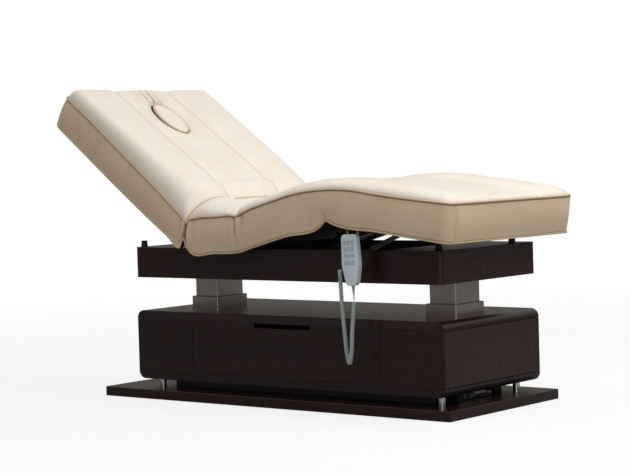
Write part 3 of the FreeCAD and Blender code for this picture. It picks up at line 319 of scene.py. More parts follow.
# sewn line beside each piping cord; its dark colour is the thread and painted shade under the cord
SEAM_THREAD_AND_SHADE = rubber("seam_thread_and_painted_shade", (0.35, 0.225, 0.13))
STITCH_THREAD = rubber("stitch_thread", (0.60, 0.45, 0.30))
LINING = lining("dust_cover")
WENGE_X = wenge("wenge_along", "x", (0.25, -0.29, 0.24), arch=(0.35, 1, 1))
WENGE_TOP = wenge("wenge_board", "x", (0.1, -0.05, 0.4), 0.24, 1.1, (0.2, 1, 1), 0.36)
WENGE_Z = wenge("wenge_upright", "z", (0.71, -0.1, 0.12), 0.3, 1.35, (1, 1, 0.4))
WENGE_EDGE = wenge("wenge_moulding", "x", (0, 0, 0), 0.27, 0.8, (0.1, 1, 1))
MELAMINE = melamine("drawer_board")
PLYWOOD = plywood("birch_plywood")
SLEEVE_STEEL = brushed_steel("sleeve_steel")
POST_STEEL = polished_steel("polished_steel")
ZINC = zinc_steel("zinc_steel")
BLACK_STEEL = black_steel("black_steel")
BLACK_PLASTIC = moulded_plastic("black_plastic", (0.022, 0.022, 0.024), 0.42)
BLACK_RUBBER = rubber("black_rubber", (0.016, 0.016, 0.017))
HANDSET_PLASTIC = moulded_plastic("handset_plastic", (0.75, 0.85, 0.93), 0.4, 1100.0)
KEY_PLASTIC = moulded_plastic("key_plastic", (0.60, 0.69, 0.76), 0.5, 1500.0)
PRINT = moulded_plastic("key_print", (0.12, 0.155, 0.17), 0.55, 1500.0)
CORD = rubber("cord_rubber", (0.48, 0.545, 0.525))
STRAP = webbing("tan_webbing", (0.55, 0.4, 0.25), (0.33, 0.21, 0.11))

CAD_LOOKS = (  # each material, and the CAD nodes that it covers
    (
        WENGE_X,
        "plinth_board cabinet_front_panels cabinet_back_panel drawer_front "
        "frame_side_rails",
    ),
    (POST_STEEL, "standoff_posts column_actuator_rods back_actuator_rod leg_actuator_rod"),
    (WENGE_TOP, "cabinet_top_board frame_decks"),
    (WENGE_EDGE, "cabinet_bottom_board cabinet_edge_mouldings"),
    (WENGE_Z, "cabinet_end_panels frame_end_rails frame_corner_posts"),
    (MELAMINE, "cabinet_dividers drawer_sides drawer_rear_board drawer_base_board"),
    (
        BLACK_PLASTIC,
        "mains_inlet column_guide_collars column_actuator_bodies "
        "back_actuator_body leg_actuator_body",
    ),
    (
        ZINC,
        "drawer_runner_fixed_members drawer_runner_mid_members "
        "drawer_runner_sliding_members base_plate_bolts section_hinge_pins "
        "knee_hinge_pins leg_link",
    ),
    (
        BLACK_STEEL,
        "base_steelwork column_head_plates steel_subframe hinge_brackets "
        "back_support_arms thigh_support_arms leg_support_arms",
    ),
    (SLEEVE_STEEL, "column_outer_sleeves column_inner_sleeves"),
    (BLACK_RUBBER, "rubber_stops"),
    (PLYWOOD, "seat_panel back_panel thigh_panel leg_panel"),
    (KEY_PLASTIC, "handset_key_height handset_key_back handset_key_knee handset_key_tilt"),
    (HANDSET_PLASTIC, "handset_front_case handset_back_case"),
    (CORD, "handset_strain_relief"),
    (STRAP, "handset_straps"),
)

for material, labels in CAD_LOOKS:
    for label in labels.split():
        mesh = frame["nodes"][label].data
        mesh.materials.clear()
        mesh.materials.append(material)


# ---- mesh helpers


def add_object(name, data):
    obj = bpy.data.objects.new(name, data)
    bpy.context.scene.collection.objects.link(obj)
    return obj


def new_piece(name, points, faces, materials, face_material=None):
    """A smooth-shaded mesh object that remembers its rest position for its material."""
    mesh = bpy.data.meshes.new(name)
    mesh.from_pydata([tuple(p) for p in points], [], faces)
    mesh.validate()
    for material in materials:
        mesh.materials.append(material)
    if face_material is not None:
        mesh.polygons.foreach_set("material_index", np.array(face_material, np.int32))
    mesh.polygons.foreach_set("use_smooth", np.ones(len(mesh.polygons), bool))
    shape = bmesh.new()
    shape.from_mesh(mesh)
    bmesh.ops.recalc_face_normals(shape, faces=shape.faces)
    shape.to_mesh(mesh)
    shape.free()
    mesh.set_sharp_from_angle(angle=math.radians(48))
    obj = add_object(name, mesh)
    remember_place(obj)
    return obj


def remember_place(obj):
    """Stores each point's rest position, which its material reads in every pose."""
    mesh = obj.data
    place = np.zeros(len(mesh.vertices) * 3, np.float32)
    mesh.vertices.foreach_get("co", place)
    stored = mesh.attributes.new("rest_place", "FLOAT_VECTOR", "POINT")
    stored.data.foreach_set("vector", place)


class Builder:
    """Collects shared points and faces of a piece."""

    def __init__(self):
        self.points, self.faces, self.kinds = [], [], []

    def grid(self, array):
        start = len(self.points)
        flat = array.reshape(-1, 3)
        self.points.extend(flat)
        return np.arange(start, start + len(flat)).reshape(array.shape[:-1])

    def quads(self, index, kind, skip=None):
        """Faces of a grid of point numbers; skip(i, j) leaves cells out."""
        rows, columns = index.shape
        for i in range(rows - 1):
            for j in range(columns - 1):
                if skip is not None and skip(i, j):
                    continue
                corners = (index[i, j], index[i, j + 1], index[i + 1, j + 1], index[i + 1, j])
                self.faces.append(tuple(int(c) for c in corners))
                self.kinds.append(kind)


def tube(path, radius, sides=8, closed=False):
    """Points and faces of a round cord along a path."""
    path = np.array(path, float)
    before = np.roll(path, 1, axis=0) if closed else np.vstack([path[:1], path[:-1]])
    after = np.roll(path, -1, axis=0) if closed else np.vstack([path[1:], path[-1:]])
    along = after - before
    along /= np.linalg.norm(along, axis=1)[:, None]
    side = np.cross(along[0], (0.0, 0.0, 1.0))
    if np.linalg.norm(side) < 0.1:
        side = np.cross(along[0], (0.0, 1.0, 0.0))
    turn = np.linspace(0, 2 * math.pi, sides, endpoint=False)
    rings = []
    for place, direction in zip(path, along):
        side = side - direction * (side @ direction)
        side /= np.linalg.norm(side)
        up = np.cross(direction, side)
        rings.append(place + radius * (np.outer(np.cos(turn), side) + np.outer(np.sin(turn), up)))
    build = Builder()
    index = build.grid(np.array(rings))
    index = np.hstack([index, index[:, :1]])
    build.quads(np.vstack([index, index[:1]]) if closed else index, 0)
    if not closed:
        build.faces.append(tuple(range(sides)))
        build.faces.append(tuple(range(len(build.points) - 1, len(build.points) - 1 - sides, -1)))
    return build.points, build.faces


def join(*shapes):
    """One point and face list from several."""
    points, faces = [], []
    for more_points, more_faces in shapes:
        start = len(points)
        points.extend(more_points)
        faces.extend(tuple(start + k for k in face) for face in more_faces)
    return points, faces


def lengths_along(path):
    """Distance along a path to each of its points."""
    return np.concatenate([[0], np.cumsum(np.linalg.norm(np.diff(path, axis=0), axis=1))])


def sampled(path, length, here):
    """Points of a path at given distances along it."""
    return np.stack([np.interp(here, length, column) for column in path.T], axis=-1)


def bell(distance, width):
    """A smooth bump of height one that fades over a width."""
    return np.exp(-((distance / width) ** 2))


def smooth_step(value, low, high):
    share = np.clip((value - low) / (high - low), 0, 1)
    return share * share * (3 - 2 * share)


def ripple(x, y, size, seed):
    """Smooth random waviness between about -1 and 1, with features of a given size."""
    draw = np.random.default_rng(seed)
    total = np.zeros(np.broadcast(x, y).shape)
    for _ in range(7):
        turn, phase = draw.uniform(0, 2 * math.pi, 2)
        pitch = size * draw.uniform(0.7, 1.6)
        total = total + np.sin((x * math.cos(turn) + y * math.sin(turn)) * 2 * math.pi / pitch + phase)
    return total / 4


# ---- mattress outlines


def joint_place(name):
    place = next(j["pos_m"] for j in frame["joints"] if j["name"] == name)
    return np.array([place[0], place[2]])


def rest_tilt(name):
    """How far a section is raised at rest: its joint's lower limit lays it flat."""
    return -next(j["range_deg"][0] for j in frame["joints"] if j["name"] == name)


class Section:
    """A section seen from the side: its hinge, the way along it and the way up from it."""

    def __init__(self, hinge, degrees, towards_head=False):
        turn = math.radians(degrees)
        sign = -1 if towards_head else 1
        self.hinge = hinge
        self.along = np.array([sign * math.cos(turn), math.sin(turn)])
        self.up = np.array([-sign * math.sin(turn), math.cos(turn)])

    def at(self, along, height):
        return self.hinge + self.along * along + self.up * height


def row_vector(side_view):
    """A side-view point or direction in the row frame."""
    return np.array([side_view[0], 0.0, side_view[1]])


BACK_HINGE = joint_place("back_hinge")
THIGH_HINGE = joint_place("thigh_hinge")
KNEE_HINGE = joint_place("knee_hinge")
LEG_FALL = 7.5  # degrees that the leg section falls at rest
back = Section(BACK_HINGE, rest_tilt("back_hinge"), towards_head=True)
seat = Section(BACK_HINGE, 0)
thigh = Section(THIGH_HINGE, rest_tilt("thigh_hinge"))
leg = Section(KNEE_HINGE, -LEG_FALL)

HALF_WIDTH = 0.381  # of the mattress
HEAD_CORNER, FOOT_CORNER = 0.020, 0.034  # plan radii of the corners
HEAD_END = 0.798  # distance of the head end from the back hinge
UNDER = 0.0185  # height of the cushions' undersides, on top of the panels
SKIRT_WALL = 0.021  # thickness of the border below the panels
STITCH_Y = 0.146  # distance of the two long seams from the middle


def key(section, edge, crown, bottom, under, shoulder, squareness):
    """Points of one key station, each given as distance along the section and height over it."""
    return (*(section.at(*place) for place in (edge, crown, bottom, (under, UNDER))), shoulder, squareness)


# Key stations along the mattress: the border's top edge, the crown's middle, the border's bottom
# edge, the underside, the width of the crown's rounded shoulder and how square it is.
KEYS = {
    "head": key(back, (0.797, 0.089), (0.799, 0.138), (0.789, -0.034), 0.789, 0.040, 2.3),
    "back_high": key(back, (0.62, 0.091), (0.62, 0.148), (0.62, -0.034), 0.62, 0.042, 2.3),
    "back_middle": key(back, (0.42, 0.089), (0.42, 0.156), (0.42, -0.034), 0.42, 0.050, 2.2),
    "back_low": key(back, (0.14, 0.084), (0.20, 0.166), (0.080, -0.026), 0.10, 0.065, 2.1),
    "back_roll": key(back, (0.052, 0.079), (0.100, 0.168), (-0.003, -0.021), 0.02, 0.10, 2.0),
    "fold": key(seat, (0.029, 0.071), (0.046, 0.159), (0.0115, 0.0215), 0.010, 0.18, 1.8),
    "seat_roll": key(seat, (0.046, 0.084), (0.068, 0.161), (0.027, -0.018), 0.03, 0.15, 1.8),
    "seat_start": key(seat, (0.080, 0.091), (0.100, 0.154), (0.048, -0.0375), 0.07, 0.10, 2.0),
    "seat_middle": key(seat, (0.17, 0.096), (0.17, 0.139), (0.16, -0.037), 0.16, 0.10, 2.1),
    "seat_end": key(seat, (0.252, 0.0995), (0.24, 0.132), (0.262, -0.034), 0.24, 0.09, 2.1),
    "kink": key(seat, (0.2685, 0.0965), (0.264, 0.131), (0.285, -0.031), 0.268, 0.09, 2.1),
    "thigh_start": key(thigh, (0.062, 0.0985), (0.050, 0.132), (0.045, -0.034), 0.03, 0.09, 2.1),
    "thigh_middle": key(thigh, (0.20, 0.101), (0.20, 0.134), (0.22, -0.036), 0.20, 0.09, 2.1),
    "knee_in": key(thigh, (0.31, 0.097), (0.31, 0.131), (0.397, -0.041), 0.36, 0.09, 2.1),
    "knee": key(thigh, (0.418, 0.080), (0.424, 0.116), (0.417, -0.029), 0.408, 0.09, 2.1),
    "knee_out": key(leg, (0.100, 0.0945), (0.105, 0.131), (0.055, -0.031), 0.07, 0.09, 2.1),
    "leg_middle": key(leg, (0.25, 0.094), (0.25, 0.135), (0.25, -0.032), 0.25, 0.09, 2.1),
    "foot": key(leg, (0.541, 0.101), (0.541, 0.130), (0.539, -0.033), 0.539, 0.08, 2.1),
}
KEY_NAMES = list(KEYS)
SHARP = {0: ("fold", "kink"), 1: ("fold",), 2: ("fold", "knee"), 3: ()}
HEAD_SHOULDER, FOOT_SHOULDER = 0.042, 0.105  # how far the crown takes to rise from the two ends
FINE = ("back_roll", "fold", "seat_end", "kink", "knee_in", "knee")
DENSE = 40  # samples of the outlines between two key stations


def through(points, sharp):
    """A smooth curve through points, sampled evenly between each pair, with corners at sharp ones."""
    points = np.array(points)
    last = len(points) - 1
    tangent = np.zeros_like(points)
    for i in range(1, last):
        before, after = points[i] - points[i - 1], points[i + 1] - points[i]
        long_before, long_after = np.linalg.norm(before), np.linalg.norm(after)
        weighted = before / long_before * long_after + after / long_after * long_before
        tangent[i] = weighted / (long_before + long_after)
    samples = []
    for i in range(last):
        chord = points[i + 1] - points[i]
        length = np.linalg.norm(chord)
        leave = chord / length if i in sharp or i == 0 else tangent[i]
        arrive = chord / length if i + 1 in sharp or i + 1 == last else tangent[i + 1]
        for t in np.linspace(0, 1, DENSE, endpoint=False):
            hold, go = 2 * t**3 - 3 * t**2 + 1, t**3 - 2 * t**2 + t
            come, end = t**3 - t**2, 3 * t**2 - 2 * t**3
            ends = points[i] * hold + points[i + 1] * end
            samples.append(ends + leave * length * go + arrive * length * come)
    samples.append(points[last])
    return np.array(samples)


OUTLINES = []
for kind in range(4):
    corners = [KEY_NAMES.index(name) for name in SHARP[kind]]
    OUTLINES.append(through([KEYS[name][kind] for name in KEY_NAMES], corners))
EDGE, CROWN, BOTTOM, UNDERSIDE = OUTLINES
station_numbers = np.arange(len(EDGE)) / DENSE
SHOULDER, SQUARENESS = (
    np.interp(station_numbers, range(len(KEYS)), [KEYS[name][k] for name in KEY_NAMES]) for k in (4, 5)
)
RUN = lengths_along((EDGE + CROWN) / 2)
LENGTH = RUN[-1]
KEY_RUN = {name: RUN[i * DENSE] for i, name in enumerate(KEY_NAMES)}


def on_outline(outline, run):
    """Side-view point of an outline at distances along the mattress."""
    return sampled(outline, RUN, run)


def half_width(run):
    """Half the plan's width at a place along the mattress, smaller in the rounded corners."""
    corner = np.where(run < LENGTH / 2, HEAD_CORNER, FOOT_CORNER)
    short = np.clip(corner - np.minimum(run, LENGTH - run), 0, corner)
    return HALF_WIDTH - corner + np.sqrt(np.maximum(corner**2 - short**2, 0))


def edge_distance(run, y):
    """Distance in from the edge of the mattress's plan."""
    return np.maximum(np.minimum(np.minimum(run, LENGTH - run), half_width(run) - np.abs(y)), 0)


def crown_height(run, y):
    """Share of the crown's height: 0 on the piping, 1 in the middle, lower in the corners."""
    widths = np.interp(run, RUN, SHOULDER)
    squareness = np.interp(run, RUN, SQUARENESS)
    side = 1 - np.clip((half_width(run) - np.abs(y)) / widths, 0, 1)
    head = 1 - np.clip(run / HEAD_SHOULDER, 0, 1)
    foot = 1 - np.clip((LENGTH - run) / FOOT_SHOULDER, 0, 1)
    short = np.clip((side**4 + head**4 + foot**4) ** 0.25, 0, 1)
    return (1 - short**squareness) ** (1 / squareness)


HOLE_RUN = 0.208  # distance of the face hole's middle from the head end
HOLE_LONG, HOLE_WIDE = 0.107, 0.070  # its half length and half width
HOLE_PATCH_ALONG, HOLE_PATCH_ACROSS = 0.178, 0.1255  # half size of the patch rebuilt round the hole
HOLE_LIP = 0.007  # radius of the rolled edge
HOLE_GATHERS = 23  # small gathers round the edge
HEAD_RIDGE, SEAT_RIDGE = 0.0095, 0.0060  # heights of the ridges drawn out from the two ends of the hole


def hole_distance(run, y):
    """Rough distance outside the oval face hole, and the angle round it from the head side."""
    along, across = HOLE_RUN - run, y
    reach = np.hypot(along / HOLE_LONG, across / HOLE_WIDE)
    outside = (reach - 1) * np.hypot(along, across) / np.maximum(reach, 1e-6)
    return outside, np.arctan2(across / HOLE_WIDE, along / HOLE_LONG)


def pleats(phase):
    """Round ridges with sharp valleys between them, from -1 to 1."""
    return 2 * np.abs(np.cos(phase)) ** 0.7 - 1


def seams(run, y):
    """Two sewn seams that run the length of the top and pull the leather down beside them."""
    beside = np.abs(np.abs(y) - STITCH_Y)
    ends = np.minimum(run, LENGTH - run)
    pull = 1 + 0.4 * bell(ends, 0.06)
    return -pull * (0.0026 * bell(beside, 0.0055) + 0.0036 * bell(beside, 0.030))


def fold_slack(run, y):
    """Soft rolls of loose leather above the fold of the back, and a dip below it."""
    above = KEY_RUN["fold"] - run
    inward = edge_distance(run, y)
    inside = smooth_step(inward, 0.06, 0.22)
    wander = 0.010 * ripple(run * 0, y, 0.6, 8)
    swell = 0.0042 * bell(above - 0.055 - wander, 0.024) - 0.0030 * bell(above - 0.092 - wander, 0.014)
    return inside * (swell + 0.0012 * bell(above - 0.122 - wander, 0.018))


def kink_creases(run, y):
    """Creases that fan out from the piping where the seat meets the thigh section."""
    inward = edge_distance(run, y)
    kink = run - KEY_RUN["kink"] - 0.06 * inward
    crease = -0.0080 * bell(kink, 0.010) * bell(inward, 0.085)
    crease = crease - 0.0030 * bell(kink + 0.030 + 0.3 * inward, 0.010) * bell(inward - 0.02, 0.05)
    return crease + 0.0045 * bell(kink - 0.020, 0.013) * bell(inward, 0.07)


def hole_puckers(run, y):
    """The leather is drawn down into the face hole: ridges to the head end, short ones below it."""
    outside, turn = hole_distance(run, y)
    near = np.maximum(outside, 0)
    tug = -0.005 * bell(near, 0.014) - 0.004 * bell(near, 0.050)
    fine = 0.0012 * np.cos(HOLE_GATHERS * turn + 2.2 * ripple(turn, 0 * turn, 2.0, 11)) * bell(near, 0.022)
    fade = smooth_step(near, -0.001, 0.004)
    spread = y * (1 - 1.2 * near)
    to_head = bell(turn, 0.8) * (1 - smooth_step(near, 0.060, 0.100)) * smooth_step(near, 0.0, 0.008)
    to_seat = bell(np.abs(turn) - math.pi + 0.25 * np.sign(y), 0.75)
    to_seat = to_seat * (1 - smooth_step(near, 0.018, 0.062)) * smooth_step(near, 0.0, 0.006)
    ridges = HEAD_RIDGE * pleats(98 * spread + 1.1) * to_head
    return tug + fine * fade + ridges + SEAT_RIDGE * pleats(78 * spread + 0.6) * to_seat


MIDDLE_DIP = 0.0085  # how much lower the padding lies between the two seams
WAVES = ((0.0013, 0.34, 3, 0.06), (0.0007, 0.11, 5, 0.05))  # height, size, seed and fade at the edge


def relief(run, y):
    """Height of sewn seams, folds and puckers on the top, in metres, measured out of the leather."""
    inward = edge_distance(run, y)
    height = seams(run, y) + kink_creases(run, y) + fold_slack(run, y) + hole_puckers(run, y)
    middle = 1 - smooth_step(np.abs(y), 0.11, 0.23)
    height = height - MIDDLE_DIP * middle * smooth_step(inward, 0.0, 0.06)
    for wave, size, seed, fade in WAVES:
        height = height + wave * ripple(run, y, size, seed) * smooth_step(inward, 0.0, fade)
    return height


def top_points(run, y):
    """Points of the crowned top, before relief."""
    edge, crown = on_outline(EDGE, run), on_outline(CROWN, run)
    side = edge + (crown - edge) * crown_height(run, y)[..., None]
    return np.stack([side[..., 0], y, side[..., 1]], axis=-1)


def top_surface(run, y):
    """Points of the finished top: crowned, then moved along its own normal by the relief."""
    step = 0.002
    base = top_points(run, y)
    forward = top_points(np.minimum(run + step, LENGTH), y) - top_points(np.maximum(run - step, 0), y)
    across = top_points(run, y + step) - top_points(run, y - step)
    normal = np.cross(forward, across)
    normal /= np.linalg.norm(normal, axis=-1)[..., None]
    normal *= np.where(normal[..., 2] < 0, -1, 1)[..., None]
    return base + normal * (relief(run, y) * smooth_step(edge_distance(run, y), 0, 0.012))[..., None]


BOTTOM_CORNER = 0.034  # radius of the quarter round at the head's lower corners


def corner_lift(run, y):
    """How far the border's bottom edge rises in a quarter round at the head's two corners."""
    along_wall = np.maximum(run, HALF_WIDTH - np.abs(y))
    short = np.clip(BOTTOM_CORNER - along_wall, 0, BOTTOM_CORNER)
    rise = BOTTOM_CORNER - np.sqrt(BOTTOM_CORNER**2 - short**2)
    return back.up * (0.9 * rise)[..., None]


def under_points(run, y):
    """Points of the underside: the skirt's lower edge, then up to the panel."""
    inside = smooth_step(edge_distance(run, y), SKIRT_WALL - 0.003, SKIRT_WALL + 0.003)[..., None]
    skirt = on_outline(BOTTOM, run) + corner_lift(run, y)
    side = skirt * (1 - inside) + on_outline(UNDERSIDE, run) * inside
    return np.stack([side[..., 0], y, side[..., 1]], axis=-1)


def border_bulge(run, share):
    """How far the side border stands out, from its top edge (0) to its bottom edge (1)."""
    swell = 0.007 * np.sin(math.pi * share) ** 0.8 - 0.003 * share
    swell = swell + 0.0012 * ripple(run, share * 0.13, 0.3, 21) * np.sin(math.pi * share)
    return swell + fold_pleat(run, share) + kink_pulls(run, share) + knee_pulls(run, share)


def fold_pleat(run, share):
    """The deep pleat of the border under the fold of the back, with a ridge on both sides."""
    fold = run - KEY_RUN["fold"]
    depth = np.sin(math.pi * np.clip(share, 0, 1)) ** 0.35
    pleat = -0.020 * bell(fold, 0.008) * (0.6 + 0.4 * depth)
    pleat = pleat + 0.006 * (bell(fold - 0.022, 0.008) + bell(fold + 0.022, 0.008)) * depth
    pleat = pleat - 0.004 * bell(fold - 0.038 - 0.02 * share, 0.006) * depth
    return pleat - 0.004 * bell(fold + 0.036 + 0.02 * share, 0.006) * depth


def kink_pulls(run, share):
    """Soft upright creases that hang from the kink in the piping."""
    kink = run - KEY_RUN["kink"]
    fade = (1 - smooth_step(share, 0.45, 1.0)) * smooth_step(share, 0.0, 0.06)
    crease = -0.0072 * bell(kink + 0.014 + 0.004 * share, 0.0065) * fade
    crease = crease - 0.0062 * bell(kink - 0.024 + 0.03 * share, 0.0065) * fade
    return crease + 0.0038 * bell(kink - 0.004, 0.008) * fade


def knee_pulls(run, share):
    """Creases that rise from the notch in the border's bottom edge at the knee."""
    knee = run - KEY_RUN["knee"]
    tug = 0.0030 * bell(knee - 0.11 * (1 - share), 0.009) * smooth_step(share, 0.2, 0.7)
    tug = tug - 0.0007 * bell(knee + 0.05 * (1 - share), 0.014) * smooth_step(share, 0.2, 0.8)
    return tug - 0.0020 * bell(knee, 0.014) * smooth_step(share, 0.7, 1.0)


# ---- mattress grid


def spaced(start, end, spacing):
    count = max(2, math.ceil((end - start) / spacing) + 1)
    return np.linspace(start, end, count)[:-1]


def station_runs():
    """Places of the cross-sections: close in the rounded corners and at the folds."""
    turns = np.linspace(0, math.pi / 2, 8)
    round_share = 1 - np.cos(turns)
    runs = list(HEAD_CORNER * round_share[:-1])
    runs.extend(spaced(HEAD_CORNER, HEAD_SHOULDER + 0.006, 0.0045))
    start = HEAD_SHOULDER + 0.006
    for name in KEY_NAMES[1:]:
        end = KEY_RUN[name] if name != "foot" else LENGTH - FOOT_CORNER
        if name in FINE or KEY_NAMES[KEY_NAMES.index(name) - 1] in FINE:
            spacing = 0.0045
        else:
            spacing = 0.0058 if start < HOLE_RUN + HOLE_PATCH_ALONG else 0.0085
        runs.extend(spaced(start, end, spacing))
        start = end
    runs.extend(LENGTH - FOOT_CORNER * round_share[::-1])
    return np.array(runs)


def column_shares():
    """Places across the mattress, as shares of its half width: close at the edges and seams."""
    inward = [0, 0.0012, 0.003, 0.006, 0.010, 0.0145, 0.018, 0.024, 0.031]
    inward = [HALF_WIDTH - d for d in inward + [0.040, 0.051, 0.064, 0.080, 0.098, 0.118]]
    around = [STITCH_Y + d for d in (0.10, 0.08, 0.062, 0.046, 0.033, 0.023, 0.015, 0.009, 0.005, 0.0025, 0)]
    inner = [STITCH_Y - d for d in (0.0025, 0.005, 0.009, 0.015)]
    middle = list(np.arange(HOLE_PATCH_ACROSS, 0.001, -0.00595))
    half = inward + around + inner + middle
    half = sorted(set(round(v, 5) for v in half), reverse=True)
    return np.array([-v for v in half] + [0] + half[::-1]) / HALF_WIDTH


RUNS = station_runs()
SHARES = column_shares()
WALL_ROWS = 14  # rows of faces down the border
ROW_SHARES = np.linspace(0, 1, WALL_ROWS + 1)[1:-1]


def nearest_station(run):
    return int(np.argmin(abs(RUNS - run)))


SPLITS = [nearest_station(KEY_RUN[name]) for name in ("seat_middle", "thigh_middle")]

grid_run = np.repeat(RUNS[:, None], len(SHARES), axis=1)
grid_y = half_width(RUNS)[:, None] * SHARES[None, :]
TOP = top_surface(grid_run, grid_y)
UNDER_GRID = under_points(grid_run, grid_y)


def border_rows(station, side):
    """The border between its two edges at one station, on one side."""
    top, low = TOP[station, side], UNDER_GRID[station, side]
    out = -1 if side == 0 else 1
    rows = top + (low - top) * ROW_SHARES[:, None]
    rows[:, 1] += out * border_bulge(RUNS[station], ROW_SHARES)
    return rows


BORDERS = {side: np.array([border_rows(i, side) for i in range(len(RUNS))]) for side in (0, -1)}


COVER, BORDER, BASE = 0, 1, 2  # the mattress's materials, by their order in the mesh; BORDER's is the cream painted in shade


def end_wall(build, top, low, left, right, bulge):
    """Closes an end between the top row and the underside row."""
    top_row = np.array([build.points[k] for k in top])
    low_row = np.array([build.points[k] for k in low])
    outward = np.zeros(3)
    if bulge:
        outward = top_row[0] - TOP[2 if bulge > 0 else -3, 0]
        outward[1] = 0
        outward /= np.linalg.norm(outward)
    wall = []
    for share in ROW_SHARES:
        row = top_row + (low_row - top_row) * share
        swell = 0.008 + 0.0015 * ripple(row[:, 1], share * 0.12, 0.3, 31)
        row = row + outward * (swell * math.sin(math.pi * share))[:, None]
        wall.append(row[1:-1])
    inner = build.grid(np.array(wall))
    middle = np.hstack([np.array(left)[:, None], inner, np.array(right)[:, None]])
    build.quads(np.vstack([top, middle, low]), BORDER if bulge else BASE)


def hole_cells():
    """First and last station and column of the patch that is rebuilt round the face hole."""
    stations = np.where(abs(RUNS - HOLE_RUN) < HOLE_PATCH_ALONG)[0]
    columns = np.where(abs(SHARES * HALF_WIDTH) < HOLE_PATCH_ACROSS)[0]
    return stations[0], stations[-1], columns[0], columns[-1]


def round_hole(turn):
    """Directions out from the hole's middle, in the plane of the back."""
    return np.outer(np.cos(turn), row_vector(back.along)) + np.outer(np.sin(turn), (0.0, 1.0, 0.0))


def hole_rings(build, top, under):
    """Rings from the patch's border to the oval rim, over it and down through the cushion."""
    first, last, left, right = hole_cells()
    loop = [(i, left) for i in range(first, last)]
    loop += [(last, j) for j in range(left, right)]
    loop += [(i, right) for i in range(last, first, -1)]
    loop += [(first, j) for j in range(right, left, -1)]
    run = np.array([RUNS[i] for i, _ in loop])
    y = np.array([grid_y[i, j] for i, j in loop])
    turn = np.arctan2(y / HOLE_WIDE, (HOLE_RUN - run) / HOLE_LONG)
    rim_run, rim_y = HOLE_RUN - HOLE_LONG * np.cos(turn), HOLE_WIDE * np.sin(turn)
    pucker = 1 + 0.010 * np.cos(HOLE_GATHERS * turn + 0.8) + 0.008 * np.cos(9 * turn)

    rings = [np.array([top[i, j] for i, j in loop])]
    for share in np.linspace(0.055, 1, 22) ** 0.85:
        ring_run, ring_y = run + (rim_run - run) * share, y + (rim_y - y) * share
        ring = top_surface(ring_run, ring_y)
        rings.append(build.grid(ring))
    rim = ring
    outward = round_hole(turn)
    for angle in np.radians((30, 60, 90)):
        inward = -outward * HOLE_LIP * math.sin(angle) * (pucker[:, None] ** 6)
        drop = HOLE_LIP * (1 - math.cos(angle))
        rings.append(build.grid(rim + inward - row_vector(back.up) * drop))
    cover_end = len(rings)
    wall_top = rim - outward * HOLE_LIP
    low = under_points(rim_run, rim_y)
    for share in (0.15, 0.35, 0.6, 0.85):
        crease = 0.0012 * np.cos(HOLE_GATHERS * turn + 0.8) * (1 - share)
        rings.append(build.grid(wall_top + (low - wall_top) * share + outward * crease[:, None]))
    wall_end = len(rings)
    rings.append(build.grid(low))
    for share in (0.7, 0.35):
        rings.append(build.grid(under_points(run + (rim_run - run) * share, y + (rim_y - y) * share)))
    rings.append(np.array([under[i, j] for i, j in loop]))
    whole = np.array(rings, int)
    whole = np.hstack([whole, whole[:, :1]])
    build.quads(whole[: cover_end + 1], COVER)
    # painted shade: the hole's inner wall takes the border's cream that is painted in shade
    build.quads(whole[cover_end:wall_end], BORDER)
    build.quads(whole[wall_end - 1 :], BASE)


def mattress_piece(name, first, last):
    """One length of the cover between two stations, closed at both ends."""
    build = Builder()
    top = build.grid(TOP[first : last + 1])
    under = build.grid(UNDER_GRID[first : last + 1])
    sides = {side: build.grid(BORDERS[side][first : last + 1]) for side in (0, -1)}
    skip = None
    if first == 0:
        i0, i1, j0, j1 = hole_cells()

        def skip(i, j):
            return i0 <= i < i1 and j0 <= j < j1

    build.quads(top, COVER, skip)
    build.quads(under, BASE, skip)
    for side, rows in sides.items():
        build.quads(np.hstack([top[:, [side]], rows, under[:, [side]]]), BORDER)
    for station in (0, -1):
        real_end = first == 0 if station == 0 else last == len(RUNS) - 1
        bulge = (1 if station == 0 else -1) if real_end else 0
        end_wall(build, top[station], under[station], sides[0][station], sides[-1][station], bulge)
    if first == 0:
        hole_rings(build, top, under)
    return new_piece(name, build.points, build.faces, [CREAM, CREAM_PAINTED_SHADE, LINING], build.kinds)


def thinned(path, spacing):
    """A path without the points that are closer than a spacing to the last one kept."""
    kept = [path[0]]
    for point in path[1:]:
        if np.linalg.norm(point - kept[-1]) > spacing:
            kept.append(point)
    return np.array(kept)


PATH_STEP = 0.0012  # closest points on a cord's path
SIDE_Y = 0.34  # beyond this distance from the middle a cord is pushed out sideways


def edge_loop(rows, first, last, outset, rise):
    """Path of a cord along a piece's edge: up one side and, at a real end, round it."""
    stations = range(first, last + 1)
    near = [rows[i, 0] for i in stations]
    far = [rows[i, -1] for i in stations]
    paths = []
    if first == 0:
        paths.append(near[::-1] + list(rows[0, 1:-1]) + far)
    elif last == len(RUNS) - 1:
        paths.append(near + list(rows[-1, 1:-1]) + far[::-1])
    else:
        paths = [near, far]
    moved = []
    for path in paths:
        path = np.array(path)
        centre = path.mean(axis=0)
        out = np.zeros_like(path)
        out[:, 1] = np.sign(path[:, 1]) * np.clip(np.abs(path[:, 1]) / SIDE_Y, 0, 1) ** 8
        out[:, 0] = np.sign(path[:, 0] - centre[0]) * (1 - np.abs(out[:, 1])) * (len(paths) == 1)
        path = path + out * outset
        path[:, 2] += rise
        moved.append(thinned(path, PATH_STEP))
    return moved


PIPING_RADIUS, THREAD_RADIUS = 0.0034, 0.0016
THREAD_BESIDE, THREAD_INSET = 0.0046, 0.0002  # the sewn line's distance from the cord, and its lower relief
LOW_RISE = 0.001  # the lower cord's height over the border's bottom edge


